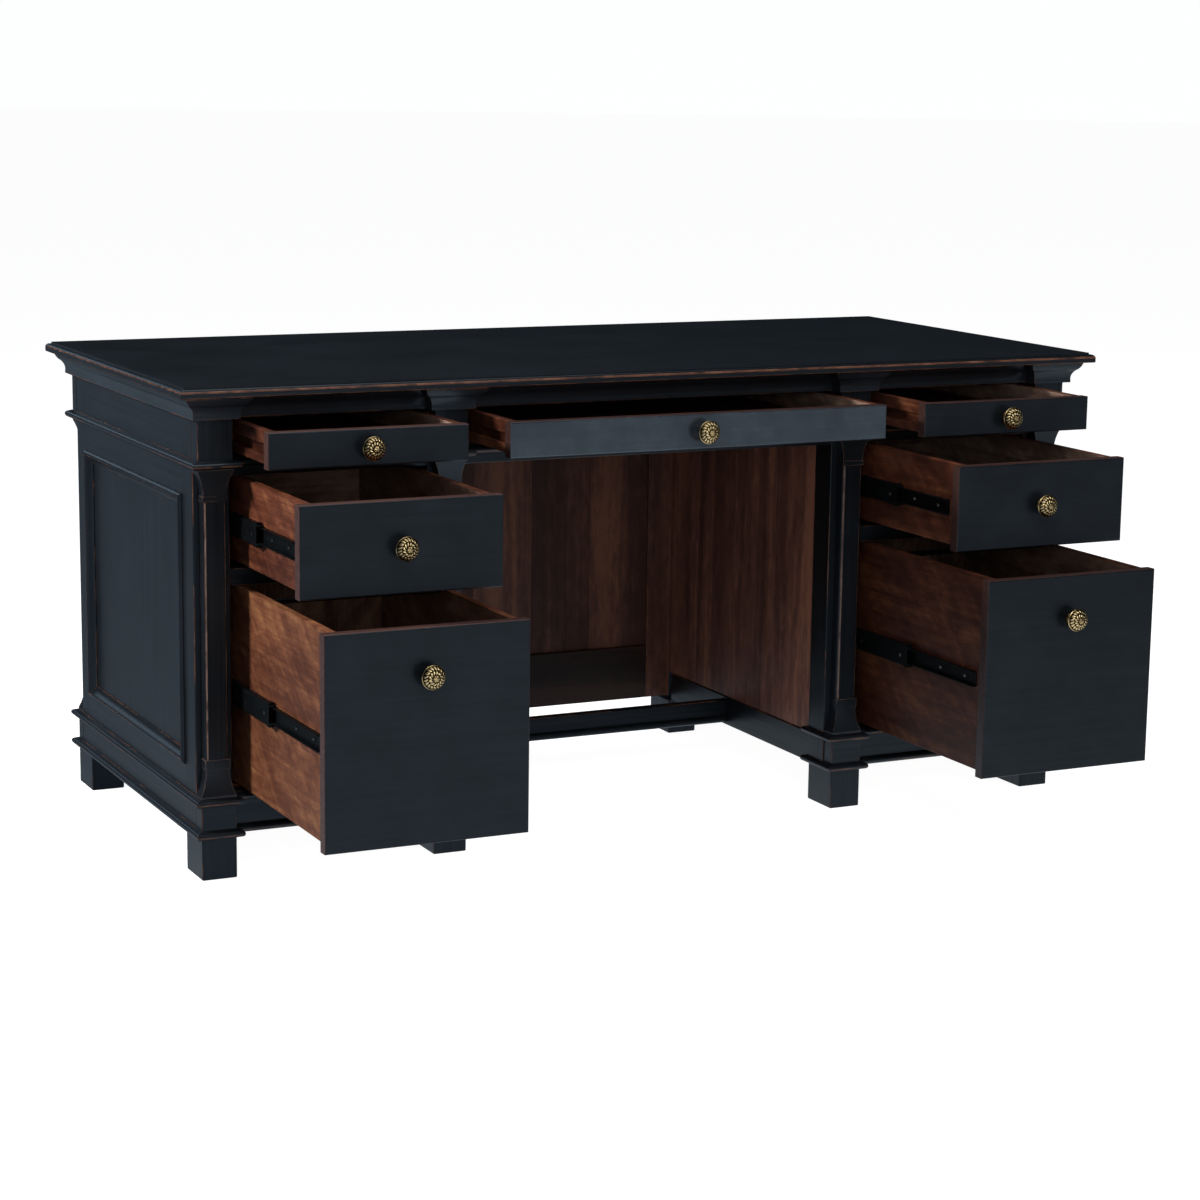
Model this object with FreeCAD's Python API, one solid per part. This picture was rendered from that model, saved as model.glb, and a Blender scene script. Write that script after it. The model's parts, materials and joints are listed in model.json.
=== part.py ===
import FreeCAD, Part
import os

V = FreeCAD.Vector

# Pedestal desk, in millimetres. X runs along the front, Y to the back, Z up.
# Overall plan
top_width = 1676.4
top_depth = 769.0
side_overhang = 38.6
front_overhang = 41.0
rear_overhang = 28.0
kneehole_width = 692.8
block_width = 58.0
foot_depth = 80.0
recess = 27.0
post_lap = 2.4

# Heights, from the floor up
foot_height = 66.0
lower_band = 15.0
plinth_height = 38.0
upper_band = 14.0
reveal = 2.0
file_height = 329.0
rail_height = 28.0
box_height = 142.0
waist_rail = 30.0
frieze_height = 57.0
top_rail = 40.0
slab_thickness = 17.0
waist_band = 15.0
cornice_height = 37.0

# Mouldings
band_flat = 6.0
band_nose = 5.0
band_ease = 2.0
cornice_reach = 25.0
cornice_start = 9.3
cornice_lip = 4.0
cornice_turn_share = 0.64
cornice_turn_reach_share = 0.57
cornice_crown_shares = (0.87, 0.82)
cornice_cove_shares = (0.19, 0.42)
slab_step = 3.0
slab_setback = 8.6
slab_nose = 6.0
slab_under = 1.6
quarter_share = 1 - 0.5 ** 0.5

# Pilasters
shaft_width = 38.0
shaft_set = 5.0
shaft_chamfer = 4.0
base_cove = 45.0
base_ring = 16.0
capital_cove = 42.0
capital_ring = 8.0
ring_proud = 1.2
cove_lip = 3.0
cove_bend_shares = (0.3, 0.42)
foot_round = 2.0

# Carcase boards
end_thickness = 20.0
panel_thickness = 8.0
panel_set = 8.0
panel_margin_low = 40.0
panel_margin_top = 46.0
panel_mould_width = 20.0
panel_mould_proud = 6.0
panel_mould_edge = 2.0
panel_mould_low = 2.0
panel_mould_crest_share = 0.35
panel_mould_swell_shares = (0.4, 0.75)
panel_mould_fall_shares = (0.75, 0.3)
rail_depth = 33.0
plinth_thickness = 18.0
rear_thickness = 18.0
back_thickness = 8.0
back_set = 6.0
wall_set = 5.6
wall_thickness = 12.0
wall_plank_count = 4
knee_plinth_set = 3.6
bottom_thickness = 12.0
dust_thickness = 8.0
lining_thickness = 18.0

# Modesty panel and stretcher
modesty_back_set = 19.0
modesty_thickness = 20.0
modesty_gap = 7.0
modesty_stile = 50.0
modesty_low_rail = 102.0
modesty_top_rail = 80.0
modesty_panel_set = 6.0
modesty_panel_thickness = 8.0
modesty_plank_count = 5
stretcher_place = 398.0
stretcher_thickness = 18.0
stretcher_lift = 4.0
stretcher_height = 42.0
bead_height = 14.0
bead_flat = 2.0
bead_nose = 5.0
bead_ease = 1.0

# Drawers
front_thickness = 20.0
front_proud = 3.0
front_gap = 2.3
front_round = 2.5
side_thickness = 13.0
side_lift = 6.0
back_drop = 6.0
drawer_back = 13.0
drawer_bottom = 6.0
drawer_bottom_lift = 8.0
slide_back_gap = 85.0
frieze_back_gap = 121.0
frieze_side_inset = 5.0
groove_height = 16.0
groove_depth = 7.0
runner_height = 15.0
runner_clearance = 0.7
runner_back_gap = 36.0
runner_end_gap = 0.5
slide_side_inset = 13.0
file_bar_place = 262.0
file_bar_width = 14.0
file_bar_height = 6.0
knob_drop = 72.0

# How far each drawer stands open
left_frieze_out = 173.0
centre_frieze_out = 179.0
right_frieze_out = 190.0
left_box_out = 307.0
right_box_out = 301.0
left_file_out = 409.0
right_file_out = 400.0

# Stops of the frieze drawers
batten_place = 180.0
batten_depth = 20.0
batten_height = 36.0
tab_width = 30.0
tab_thickness = 10.0
tab_grip = 22.0
tab_gap = 5.0

# Ball-bearing slides
slide_thickness = 12.7
slide_length = 500.0
slide_set = 25.0
slide_rise_share = 0.48
cabinet_member_height = 45.0
cabinet_member_depth = 10.5
mid_member_height = 35.0
mid_member_depth = 9.3
mid_member_gap = 0.5
drawer_member_height = 26.0
drawer_member_depth = 8.7
member_wall = 1.2
ball_gap = 0.3
cage_depth = 5.5
cage_set = 0.8
cage_length = 240.0
packer_height = 60.0

# Knobs
knob_radius = 18.0
knob_projection = 29.0
knob_rim = 18.0
knob_rim_edge = 2.5
knob_seat_radius = 8.0
knob_seat = 2.0
knob_neck_radius = 5.5
knob_neck = 10.0
knob_boss_radius = 4.5
knob_boss = 1.5
knob_dome_shares = (0.66, 0.68)
knob_bore_depth = 12.0
screw_radius = 2.2
screw_clearance = 0.3
screw_head_radius = 4.5
screw_head = 2.0

overrun = 1.0
tiny = 1e-6

# Levels
z_plinth = foot_height + lower_band
z_upper = z_plinth + plinth_height
z_base = z_upper + upper_band
z_file = z_base + reveal
z_file_top = z_file + file_height
z_rail = z_file_top + reveal
z_rail_top = z_rail + rail_height
z_box = z_rail_top + reveal
z_box_top = z_box + box_height
z_waist_rail = z_box_top + reveal
z_floor = z_waist_rail + waist_rail
z_frieze = z_floor + reveal
z_frieze_top = z_frieze + frieze_height
z_top_rail = z_frieze_top + reveal
z_slab = z_top_rail + top_rail
z_waist = z_floor - waist_band
z_cornice = z_slab - cornice_height
z_dust_top = z_waist_rail + dust_thickness
z_panel_low = z_base + panel_margin_low
z_panel_top = z_waist - panel_margin_top

# Places across the front, measured from the middle
x_end = top_width / 2 - side_overhang
x_block_out = x_end - block_width
x_knee = kneehole_width / 2
x_block_in = x_knee + block_width
x_open_out = x_block_out - post_lap
x_open_in = x_block_in + post_lap
x_centre = x_knee - post_lap
x_wall = x_knee + wall_set
x_wall_back = x_wall + wall_thickness
x_knee_plinth = x_knee + knee_plinth_set
x_end_back = x_end - end_thickness
x_front_out = x_open_out - front_gap
x_front_in = x_open_in + front_gap
x_slide_out = x_front_out - slide_side_inset + slide_thickness
x_slide_in = x_front_in + slide_side_inset - slide_thickness
columns = ((x_knee, x_block_in), (x_block_out, x_end))

# Places from front to back, measured from the faces of the front blocks
base_depth = top_depth - front_overhang - rear_overhang
y_recess_back = base_depth - recess
y_post_back = base_depth - foot_depth
y_rear_board = y_recess_back - rear_thickness
y_closed = recess - front_proud
y_box_closed = y_closed + front_thickness
y_slide = y_box_closed + slide_set
slide_drawer_depth = y_recess_back - back_set - back_thickness - slide_back_gap - y_box_closed
frieze_drawer_depth = y_rear_board - frieze_back_gap - tab_thickness - y_box_closed
band_reach = band_flat + band_nose

# The origin lies on the floor under the middle of everything, with the drawers as they stand
furthest_out = max(left_frieze_out, centre_frieze_out, right_frieze_out, left_box_out, right_box_out,
                   left_file_out, right_file_out)
y_foremost = y_closed - furthest_out - knob_projection - knob_boss
y_middle = (y_foremost + base_depth + rear_overhang) / 2


def board(x0, x1, y0, y1, z0, z1):
    """Plain rectangular board between two corners."""
    low = V(min(x0, x1), min(y0, y1), min(z0, z1))
    return Part.makeBox(abs(x1 - x0), abs(y1 - y0), abs(z1 - z0), low)


def pair(x0, x1, y0, y1, z0, z1):
    """The same board on the left and on the right."""
    return [board(side * x0, side * x1, y0, y1, z0, z1) for side in (-1, 1)]


def line(start, end):
    return Part.LineSegment(start, end).toShape()


def trace(outline, put):
    """Edges of an outline; each step is a line to a point, or an arc through one point to another."""
    at = put(*outline[0][0])
    edges = []
    for step in outline[1:]:
        to = put(*step[-1])
        if len(step) == 1:
            edges.append(line(at, to))
        else:
            edges.append(Part.Arc(at, put(*step[0]), to).toShape())
        at = to
    return edges


def filled(edges):
    """Flat face inside a ring of edges."""
    return Part.Face(Part.Wire(Part.__sortEdges__(edges)))


def moulded(outline, across, near, far, start, end, z):
    """Bar from start to end, whose near and far sides carry the outline where their flag is set."""
    def side(place, sign):
        def put(reach, rise):
            if across == "y":
                return V(start, place + sign * reach, z + rise)
            return V(place + sign * reach, start, z + rise)
        return put
    flat = [((0, outline[0][0][1]),), ((0, outline[-1][-1][1]),)]
    edges = []
    ends = []
    for (place, shaped), sign in ((near, -1), (far, 1)):
        put = side(place, sign)
        path = outline if shaped else flat
        edges += trace(path, put)
        ends.append((put(*path[0][0]), put(*path[-1][-1])))
    for one, other in zip(*ends):
        if one.distanceToPoint(other) > tiny:
            edges.append(line(one, other))
    run = V(end - start, 0, 0) if across == "y" else V(0, end - start, 0)
    return filled(edges).extrude(run)


def solid_of(shape):
    """The one solid in a boolean result."""
    return shape.Solids[0]


def band_outline(height):
    """Bullnose band: eased top and bottom round a full nose."""
    low = (band_flat, band_ease)
    high = (band_flat, height - band_ease)
    return [((0, 0),), (low,), ((band_reach, height / 2), high), ((0, height),)]


def cornice_outline():
    """Ogee: a small lip, a hollow, then a swelling crown under the top."""
    rise = cornice_height - cornice_lip
    grow = cornice_reach - cornice_start
    turn = (cornice_start + cornice_turn_reach_share * grow, cornice_turn_share * cornice_height)
    cove = (cornice_start + cornice_cove_shares[0] * grow, cornice_lip + cornice_cove_shares[1] * rise)
    crown = (cornice_start + cornice_crown_shares[0] * grow, cornice_crown_shares[1] * cornice_height)
    return [((0, 0),), ((cornice_start, 0),), ((cornice_start, cornice_lip),), (cove, turn),
            (crown, (cornice_reach, cornice_height)), ((0, cornice_height),)]


def corner_block(outline, reach, x0, x1, front, z):
    """Length of moulding carried round the front and both flanks of a block."""
    if front:
        near, far = (0, True), (recess, False)
        y0, y1 = -reach, recess
    else:
        near, far = (y_recess_back, False), (base_depth, True)
        y0, y1 = y_recess_back, base_depth + reach
    face = moulded(outline, "y", near, far, x0 - reach, x1 + reach, z)
    flanks = moulded(outline, "x", (x0, True), (x1, True), y0, y1, z)
    return solid_of(face.common(flanks))


def all_blocks(outline, reach, z):
    """The moulding's blocks over all eight pilasters."""
    blocks = []
    for front in (True, False):
        for x0, x1 in columns:
            for low, high in ((x0, x1), (-x1, -x0)):
                blocks.append(corner_block(outline, reach, low, high, front, z))
    return blocks


def face_runs(outline, blocks, spans, z):
    """Straight lengths on the recessed front and rear faces, scribed to the blocks beside them."""
    runs = []
    for low, high in spans:
        front = moulded(outline, "y", (recess, True), (recess, False), low, high, z)
        rear = moulded(outline, "y", (y_recess_back, False), (y_recess_back, True), low, high, z)
        for run in (front, rear):
            runs.append(solid_of(run.cut(Part.makeCompound(blocks))))
    return runs


def end_runs(outline, z):
    """Straight lengths along the two ends of the desk."""
    left = moulded(outline, "x", (-x_end, True), (-x_end, False), recess, y_recess_back, z)
    right = moulded(outline, "x", (x_end, False), (x_end, True), recess, y_recess_back, z)
    return [left, right]


def knee_returns(outline, reach, x_back, z):
    """Short lengths carried round the kneehole side and the back of each inner front post."""
    runs = []
    for side in (-1, 1):
        if side < 0:
            near, far = (-x_back, False), (-x_knee, True)
        else:
            near, far = (x_knee, True), (x_back, False)
        bar = moulded(outline, "x", near, far, recess, foot_depth + reach, z)
        ends = moulded(outline, "y", (recess, False), (foot_depth, True), -x_back, x_back, z)
        post = board(side * x_centre, side * x_open_in, recess, foot_depth, foot_height, z_slab)
        runs.append(solid_of(bar.common(ends).cut(post)))
    return runs


pedestal_spans = ((x_block_in, x_block_out), (-x_block_out, -x_block_in))
whole_spans = pedestal_spans + ((-x_knee, x_knee),)


def desk_top():
    """Slab with a raised field and a rounded edge, moulded on all four sides."""
    shoulder = slab_thickness - slab_step
    under = slab_under * quarter_share
    nose = slab_nose * quarter_share
    outline = [((-slab_under, 0),), ((-under, under), (0, slab_under)), ((0, shoulder - slab_nose),),
               ((-nose, shoulder - nose), (-slab_nose, shoulder)), ((-slab_setback, shoulder),),
               ((-slab_setback, slab_thickness),)]
    half = top_width / 2
    back = base_depth + rear_overhang
    long_bar = moulded(outline, "y", (-front_overhang, True), (back, True), -half, half, z_slab)
    cross_bar = moulded(outline, "x", (-half, True), (half, True), -front_overhang, back, z_slab)
    return [solid_of(long_bar.common(cross_bar))]


def cornice():
    outline = cornice_outline()
    blocks = all_blocks(outline, cornice_reach, z_cornice)
    return blocks + face_runs(outline, blocks, whole_spans, z_cornice) + end_runs(outline, z_cornice)


def waist_moulding():
    outline = band_outline(waist_band)
    blocks = all_blocks(outline, band_reach, z_waist)
    return blocks + face_runs(outline, blocks, whole_spans, z_waist) + end_runs(outline, z_waist)


def base_moulding(height, x_back, z):
    outline = band_outline(height)
    blocks = all_blocks(outline, band_reach, z)
    runs = face_runs(outline, blocks, pedestal_spans, z) + end_runs(outline, z)
    return blocks + runs + knee_returns(outline, band_reach, x_back, z)


def stacked_blocks(z0, z1):
    """Plain blocks of the eight pilaster stacks between two levels."""
    blocks = []
    for x0, x1 in columns:
        blocks += pair(x0, x1, 0, recess, z0, z1)
        blocks += pair(x0, x1, y_recess_back, base_depth, z0, z1)
    return blocks


def coved(outline_of, x_mid, front, z):
    """Pilaster piece whose outline spreads over the flanks and, less, over the face."""
    half = shaft_width / 2
    spread = (block_width - shaft_width) / 2
    if front:
        near, far = (shaft_set, True), (recess, False)
        y0, y1 = 0, recess
    else:
        near, far = (y_recess_back, False), (base_depth - shaft_set, True)
        y0, y1 = y_recess_back, base_depth
    x0, x1 = x_mid - half, x_mid + half
    face = moulded(outline_of(shaft_set), "y", near, far, x0 - spread, x1 + spread, z)
    flanks = moulded(outline_of(spread), "x", (x0, True), (x1, True), y0, y1, z)
    return solid_of(face.common(flanks))


def base_outline(spread):
    """Pilaster base: lip, hollow cove, then a flat ring."""
    rise = base_cove - cove_lip
    bend = (spread * cove_bend_shares[0], cove_lip + rise * cove_bend_shares[1])
    top = base_cove + base_ring
    return [((spread, 0),), ((spread, cove_lip),), (bend, (0, base_cove)), ((ring_proud, base_cove),),
            ((ring_proud, top),), ((0, top),)]


def capital_outline(spread):
    """Pilaster capital: a ring, then a hollow cove that opens to the block's width."""
    rise = capital_cove - cove_lip
    bend = (spread * cove_bend_shares[0], capital_ring + rise * (1 - cove_bend_shares[1]))
    top = capital_ring + capital_cove
    return [((0, 0),), ((ring_proud, 0),), ((ring_proud, capital_ring),), ((0, capital_ring),),
            (bend, (spread, top - cove_lip)), ((spread, top),)]


def column_middles():
    middles = [(x0 + x1) / 2 for x0, x1 in columns]
    return [side * middle for middle in middles for side in (-1, 1)]


def pilaster_pieces(outline_of, z):
    return [coved(outline_of, x, front, z) for front in (True, False) for x in column_middles()]


def pilaster_shafts():
    """Straight shafts with their two outer edges chamfered."""
    shafts = []
    z0 = z_base + base_cove + base_ring
    z1 = z_waist - capital_cove - capital_ring
    for x in column_middles():
        for y0, y1, y_face in ((shaft_set, recess, shaft_set),
                               (y_recess_back, base_depth - shaft_set, base_depth - shaft_set)):
            shaft = board(x - shaft_width / 2, x + shaft_width / 2, y0, y1, z0, z1)
            edges = [e for e in shaft.Edges if upright(e) and abs(e.CenterOfMass.y - y_face) < tiny]
            shafts.append(shaft.makeChamfer(shaft_chamfer, edges))
    return shafts


def upright(edge):
    """True for a vertical edge."""
    first, last = edge.Vertexes[0].Point, edge.Vertexes[-1].Point
    return abs(first.z - last.z) > abs(first.x - last.x) + abs(first.y - last.y)


def feet():
    """Square feet with eased upright edges."""
    made = []
    for x0, x1 in columns:
        for y0, y1 in ((0, foot_depth), (y_post_back, base_depth)):
            for foot in pair(x0, x1, y0, y1, 0, foot_height):
                made.append(foot.makeFillet(foot_round, [e for e in foot.Edges if upright(e)]))
    return made


def posts():
    made = pair(x_centre, x_open_in, recess, foot_depth, foot_height, z_slab)
    made += pair(x_open_out, x_end, recess, foot_depth, foot_height, z_slab)
    made += pair(x_wall_back, x_open_in, y_post_back, y_recess_back, foot_height, z_slab)
    made += pair(x_open_out, x_end, y_post_back, y_recess_back, foot_height, z_slab)
    return made


def end_board(z0, z1):
    return pair(x_end_back, x_end, foot_depth, y_post_back, z0, z1)


def end_rails():
    """Rails below and above each end panel, and the frieze board over them."""
    return end_board(z_base, z_panel_low) + end_board(z_panel_top, z_waist) + end_board(z_waist, z_slab)


def end_panels():
    face = x_end - panel_set
    return pair(face - panel_thickness, face, foot_depth, y_post_back, z_panel_low, z_panel_top)


def mould_strip(side, start, end, inward):
    """One mitred length of the moulding round an end panel, from corner to corner of the opening."""
    along = (end - start).normalize()
    floor = V(side * (x_end - panel_set), 0, 0)
    width = panel_mould_width

    def put(inset, rise):
        return start + floor + inward * inset + V(side * rise, 0, 0)
    edge = panel_set + panel_mould_edge
    crest = (panel_mould_crest_share * width, panel_set + panel_mould_proud)
    swell = (panel_mould_swell_shares[0] * crest[0], edge + panel_mould_swell_shares[1] * (crest[1] - edge))
    fall = (panel_mould_fall_shares[0] * width, panel_mould_fall_shares[1] * crest[1])
    outline = [((0, 0),), ((0, edge),), (swell, crest), (fall, (width, panel_mould_low)), ((width, 0),)]
    edges = trace(outline, put) + [line(put(width, 0), put(0, 0))]
    bar = filled(edges).extrude(end - start)
    low_x = V(side * (x_end - panel_set - overrun), 0, 0)
    ring = [start, end, end + inward * width - along * width, start + inward * width + along * width]
    corners = [point + low_x for point in ring]
    wedge_face = Part.Face(Part.makePolygon(corners + corners[:1]))
    wedge = wedge_face.extrude(V(side * (panel_set + panel_mould_proud + 2 * overrun), 0, 0))
    return solid_of(bar.common(wedge))


def panel_mouldings():
    low_front = V(0, foot_depth, z_panel_low)
    low_rear = V(0, y_post_back, z_panel_low)
    top_rear = V(0, y_post_back, z_panel_top)
    top_front = V(0, foot_depth, z_panel_top)
    made = []
    for side in (-1, 1):
        made.append(mould_strip(side, low_front, low_rear, V(0, 0, 1)))
        made.append(mould_strip(side, low_rear, top_rear, V(0, -1, 0)))
        made.append(mould_strip(side, top_rear, top_front, V(0, 0, -1)))
        made.append(mould_strip(side, top_front, low_front, V(0, 1, 0)))
    return made


def plinth_boards():
    made = end_board(foot_height, z_base)
    made += pair(x_open_in, x_open_out, recess, recess + plinth_thickness, foot_height, z_upper)
    made += pair(x_open_in, x_open_out, y_rear_board, y_recess_back, foot_height, z_base)
    back = x_knee_plinth + plinth_thickness
    made += pair(x_knee_plinth, back, foot_depth, y_post_back, foot_height, z_upper)
    return made


def planks(count, start, end):
    """Equal boards side by side between two places."""
    step = (end - start) / count
    return [(start + i * step, start + (i + 1) * step) for i in range(count)]


def kneehole_walls():
    made = []
    for y0, y1 in planks(wall_plank_count, foot_depth, y_recess_back):
        made += pair(x_wall, x_wall_back, y0, y1, z_upper, z_waist_rail)
    return made


def drawer_rails():
    """Rails across the front of each pedestal and of the kneehole."""
    levels = ((z_upper, z_base), (z_rail, z_rail_top), (z_waist_rail, z_floor), (z_top_rail, z_slab))
    back = recess + rail_depth
    made = []
    for z0, z1 in levels:
        made += pair(x_open_in, x_open_out, recess, back, z0, z1)
    for z0, z1 in levels[2:]:
        made.append(board(-x_centre, x_centre, recess, back, z0, z1))
    return made


def rear_frieze():
    made = pair(x_open_in, x_open_out, y_rear_board, y_recess_back, z_waist_rail, z_slab)
    made.append(board(-x_wall_back, x_wall_back, y_rear_board, y_recess_back, z_waist_rail, z_slab))
    return made


def back_panels():
    face = y_recess_back - back_set
    return pair(x_open_in, x_open_out, face - back_thickness, face, z_base, z_waist_rail)


def floors():
    """Pedestal bottoms, and the dust panels that close the pedestals under the frieze drawers."""
    made = pair(x_wall_back, x_end_back, foot_depth, y_post_back, z_base - bottom_thickness, z_base)
    made += pair(x_wall_back, x_end_back, foot_depth, y_post_back, z_waist_rail, z_dust_top)
    return made


def frieze_linings():
    """Upright boards beside the frieze drawers, which carry the runners and the top."""
    y0, y1 = foot_depth, y_post_back
    made = pair(x_centre, x_centre + lining_thickness, y0, y1, z_waist_rail, z_slab)
    made += pair(x_open_in - lining_thickness, x_open_in, y0, y1, z_dust_top, z_slab)
    made += pair(x_open_out, x_open_out + lining_thickness, y0, y1, z_dust_top, z_slab)
    return made


def frieze_runners():
    """Strips that run in the grooves of the frieze drawers."""
    y0 = y_box_closed + runner_end_gap
    y1 = y_post_back - runner_back_gap
    middle = z_frieze + frieze_height / 2
    z0, z1 = middle - runner_height / 2, middle + runner_height / 2
    reach = front_gap + frieze_side_inset + groove_depth - runner_clearance
    made = pair(x_open_out - reach, x_open_out, y0, y1, z0, z1)
    made += pair(x_open_in, x_open_in + reach, y0, y1, z0, z1)
    made += pair(x_centre - reach, x_centre, y0, y1, z0, z1)
    return made


def stop_battens():
    y1 = batten_place + batten_depth
    z0 = z_slab - batten_height
    made = pair(x_open_in, x_open_out, batten_place, y1, z0, z_slab)
    made.append(board(-x_centre, x_centre, batten_place, y1, z0, z_slab))
    return made


def modesty_places():
    back = y_recess_back - modesty_back_set
    return back - modesty_thickness, back


def modesty_frame():
    y0, y1 = modesty_places()
    z0 = foot_height + modesty_gap
    inner = x_wall - modesty_stile
    made = pair(inner, x_wall, y0, y1, z0, z_waist_rail)
    made.append(board(-inner, inner, y0, y1, z0, z0 + modesty_low_rail))
    made.append(board(-inner, inner, y0, y1, z_waist_rail - modesty_top_rail, z_waist_rail))
    return made


def modesty_panel():
    y0 = modesty_places()[0] + modesty_panel_set
    z0 = foot_height + modesty_gap + modesty_low_rail
    z1 = z_waist_rail - modesty_top_rail
    inner = x_wall - modesty_stile
    y1 = y0 + modesty_panel_thickness
    return [board(a, b, y0, y1, z0, z1) for a, b in planks(modesty_plank_count, -inner, inner)]


def stretcher():
    """Cross rail between the pedestals with a rounded bead along its lower edge."""
    z0 = foot_height + stretcher_lift
    reach = x_knee_plinth
    back = stretcher_place + stretcher_thickness
    rail = board(-reach, reach, stretcher_place, back, z0, z0 + stretcher_height)
    outline = [((0, 0),), ((bead_flat, bead_ease),),
               ((bead_flat + bead_nose, bead_height / 2), (bead_flat, bead_height - bead_ease)),
               ((0, bead_height),)]
    place = stretcher_place
    bead = moulded(outline, "y", (place, True), (place, False), -reach, reach, z0)
    return [rail, bead]


def slide_level(z0, z1):
    """Middle height of a slide on a drawer whose front lies between two levels."""
    return z0 + slide_rise_share * (z1 - z0)


slide_levels = (slide_level(z_file, z_file_top), slide_level(z_box, z_box_top))


def slide_packers():
    made = []
    for z in slide_levels:
        z0, z1 = z - packer_height / 2, z + packer_height / 2
        made += pair(x_slide_out, x_end_back, foot_depth, y_post_back, z0, z1)
        made += pair(x_wall_back, x_slide_in, foot_depth, y_post_back, z0, z1)
    return made


def channel(x, toward, depth, height, z, y0, y1):
    """Folded steel channel with its web at x and its flanges turned toward one side."""
    half = height / 2
    inner = half - member_wall
    shape = ((0, -half), (depth, -half), (depth, -inner), (member_wall, -inner),
             (member_wall, inner), (depth, inner), (depth, half), (0, half))
    points = [V(x + toward * out, y0, z + rise) for out, rise in shape]
    return Part.Face(Part.makePolygon(points + points[:1])).extrude(V(0, y1 - y0, 0))


def slide_walls(side):
    """Wall plane of each slide of one pedestal, with the direction toward the drawer."""
    return ((side * x_slide_out, -side), (side * x_slide_in, side))


def cabinet_members():
    made = []
    for side in (-1, 1):
        for z in slide_levels:
            for x, toward in slide_walls(side):
                made.append(channel(x, toward, cabinet_member_depth, cabinet_member_height, z,
                                    y_slide, y_slide + slide_length))
    return made


def mid_members(side, z, out):
    """Intermediate members of one drawer's slides, run out half as far as the drawer."""
    made = []
    y0 = y_slide - out / 2
    for x, toward in slide_walls(side):
        web = x + toward * (member_wall + mid_member_gap)
        made.append(channel(web, toward, mid_member_depth, mid_member_height, z, y0, y0 + slide_length))
    return made


def ball_cages(side, z, out):
    """Strips of balls: outer ones at the rear of the intermediate member, inner ones at its front."""
    made = []
    y0 = y_slide - out / 2
    outer = (mid_member_height / 2, cabinet_member_height / 2 - member_wall, y0 + slide_length - cage_length)
    inner = (drawer_member_height / 2, mid_member_height / 2 - member_wall, y0)
    for x, toward in slide_walls(side):
        root = x + toward * (2 * member_wall + mid_member_gap + cage_set)
        for low, high, y in (outer, inner):
            for way in (-1, 1):
                z0, z1 = z + way * (low + ball_gap), z + way * (high - ball_gap)
                made.append(board(root, root + toward * cage_depth, y, y + cage_length, z0, z1))
    return made


def drawer_members(side, z, out):
    made = []
    for x, toward in slide_walls(side):
        web = x + toward * slide_thickness
        made.append(channel(web, -toward, drawer_member_depth, drawer_member_height, z,
                            y_slide - out, y_slide - out + slide_length))
    return made


def rounded_front(x0, x1, y, z0, z1, x_knob, z_knob):
    """Drawer front with its face edges eased and a hole for the knob's screw."""
    front = board(x0, x1, y, y + front_thickness, z0, z1)
    edges = [e for e in front.Edges if abs(e.CenterOfMass.y - y) < tiny]
    front = front.makeFillet(front_round, edges)
    bore = Part.makeCylinder(screw_radius + screw_clearance, front_thickness + 2 * overrun,
                             V(x_knob, y - overrun, z_knob), V(0, 1, 0))
    return solid_of(front.cut(bore))


def drawer_box(x0, x1, y, z0, z1, depth):
    """Two sides, a back and a bottom, between the outer faces of the sides."""
    inner0, inner1 = x0 + side_thickness, x1 - side_thickness
    low = z0 + side_lift
    floor = low + drawer_bottom_lift
    end = y + depth
    sides = [board(x0, inner0, y, end, low, z1), board(inner1, x1, y, end, low, z1)]
    back = board(inner0, inner1, end - drawer_back, end, floor + drawer_bottom, z1 - back_drop)
    bottom = board(inner0, inner1, y, end, floor, floor + drawer_bottom)
    return sides, back, bottom


def grooved(side_board, x_face, toward, y, depth):
    """Drawer side with the runner's groove cut along its outer face."""
    middle = z_frieze + frieze_height / 2
    cut = board(x_face - toward * overrun, x_face + toward * groove_depth, y - overrun, y + depth + overrun,
                middle - groove_height / 2, middle + groove_height / 2)
    return solid_of(side_board.cut(cut))


def stop_tab(x, end, z1):
    """Upright tab behind a frieze drawer, which meets the batten when the drawer is fully out."""
    half = tab_width / 2
    return board(x - half, x + half, end, end + tab_thickness, z1 - back_drop - tab_grip,
                 z_slab - tab_gap)


def knob(x, y, z):
    """Turned knob: a seat, a waisted neck, a domed head with a small boss, bored for its screw."""
    bore = screw_radius + screw_clearance
    tip = knob_projection + knob_boss
    neck_top = knob_seat + knob_neck
    edge = knob_rim + knob_rim_edge
    dome = (knob_dome_shares[0] * knob_radius, edge + knob_dome_shares[1] * (knob_projection - edge))
    outline = [((bore, 0),), ((knob_seat_radius, 0),), ((knob_seat_radius, knob_seat),),
               ((knob_neck_radius, knob_seat + knob_neck / 2),), ((knob_seat_radius, neck_top),),
               ((knob_radius, knob_rim),), ((knob_radius, edge),),
               (dome, (knob_boss_radius, knob_projection)), ((knob_boss_radius, tip),), ((0, tip),),
               ((0, knob_bore_depth),), ((bore, knob_bore_depth),), ((bore, 0),)]

    def put(radius, out):
        return V(x + radius, y - out, z)
    face = filled(trace(outline, put))
    return solid_of(face.revolve(V(x, y, z), V(0, 1, 0), 360))


def knob_screw(x, y, z):
    """Screw from inside the drawer through its front into the knob."""
    inside = y + front_thickness
    reach = front_thickness + knob_bore_depth - screw_clearance
    shank = Part.makeCylinder(screw_radius, reach, V(x, inside, z), V(0, -1, 0))
    head = Part.makeCylinder(screw_head_radius, screw_head, V(x, inside, z), V(0, 1, 0))
    return shank.fuse(head).removeSplitter()


def knob_set(x, y, z):
    return [knob(x, y, z), solid_of(knob_screw(x, y, z))]


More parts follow.
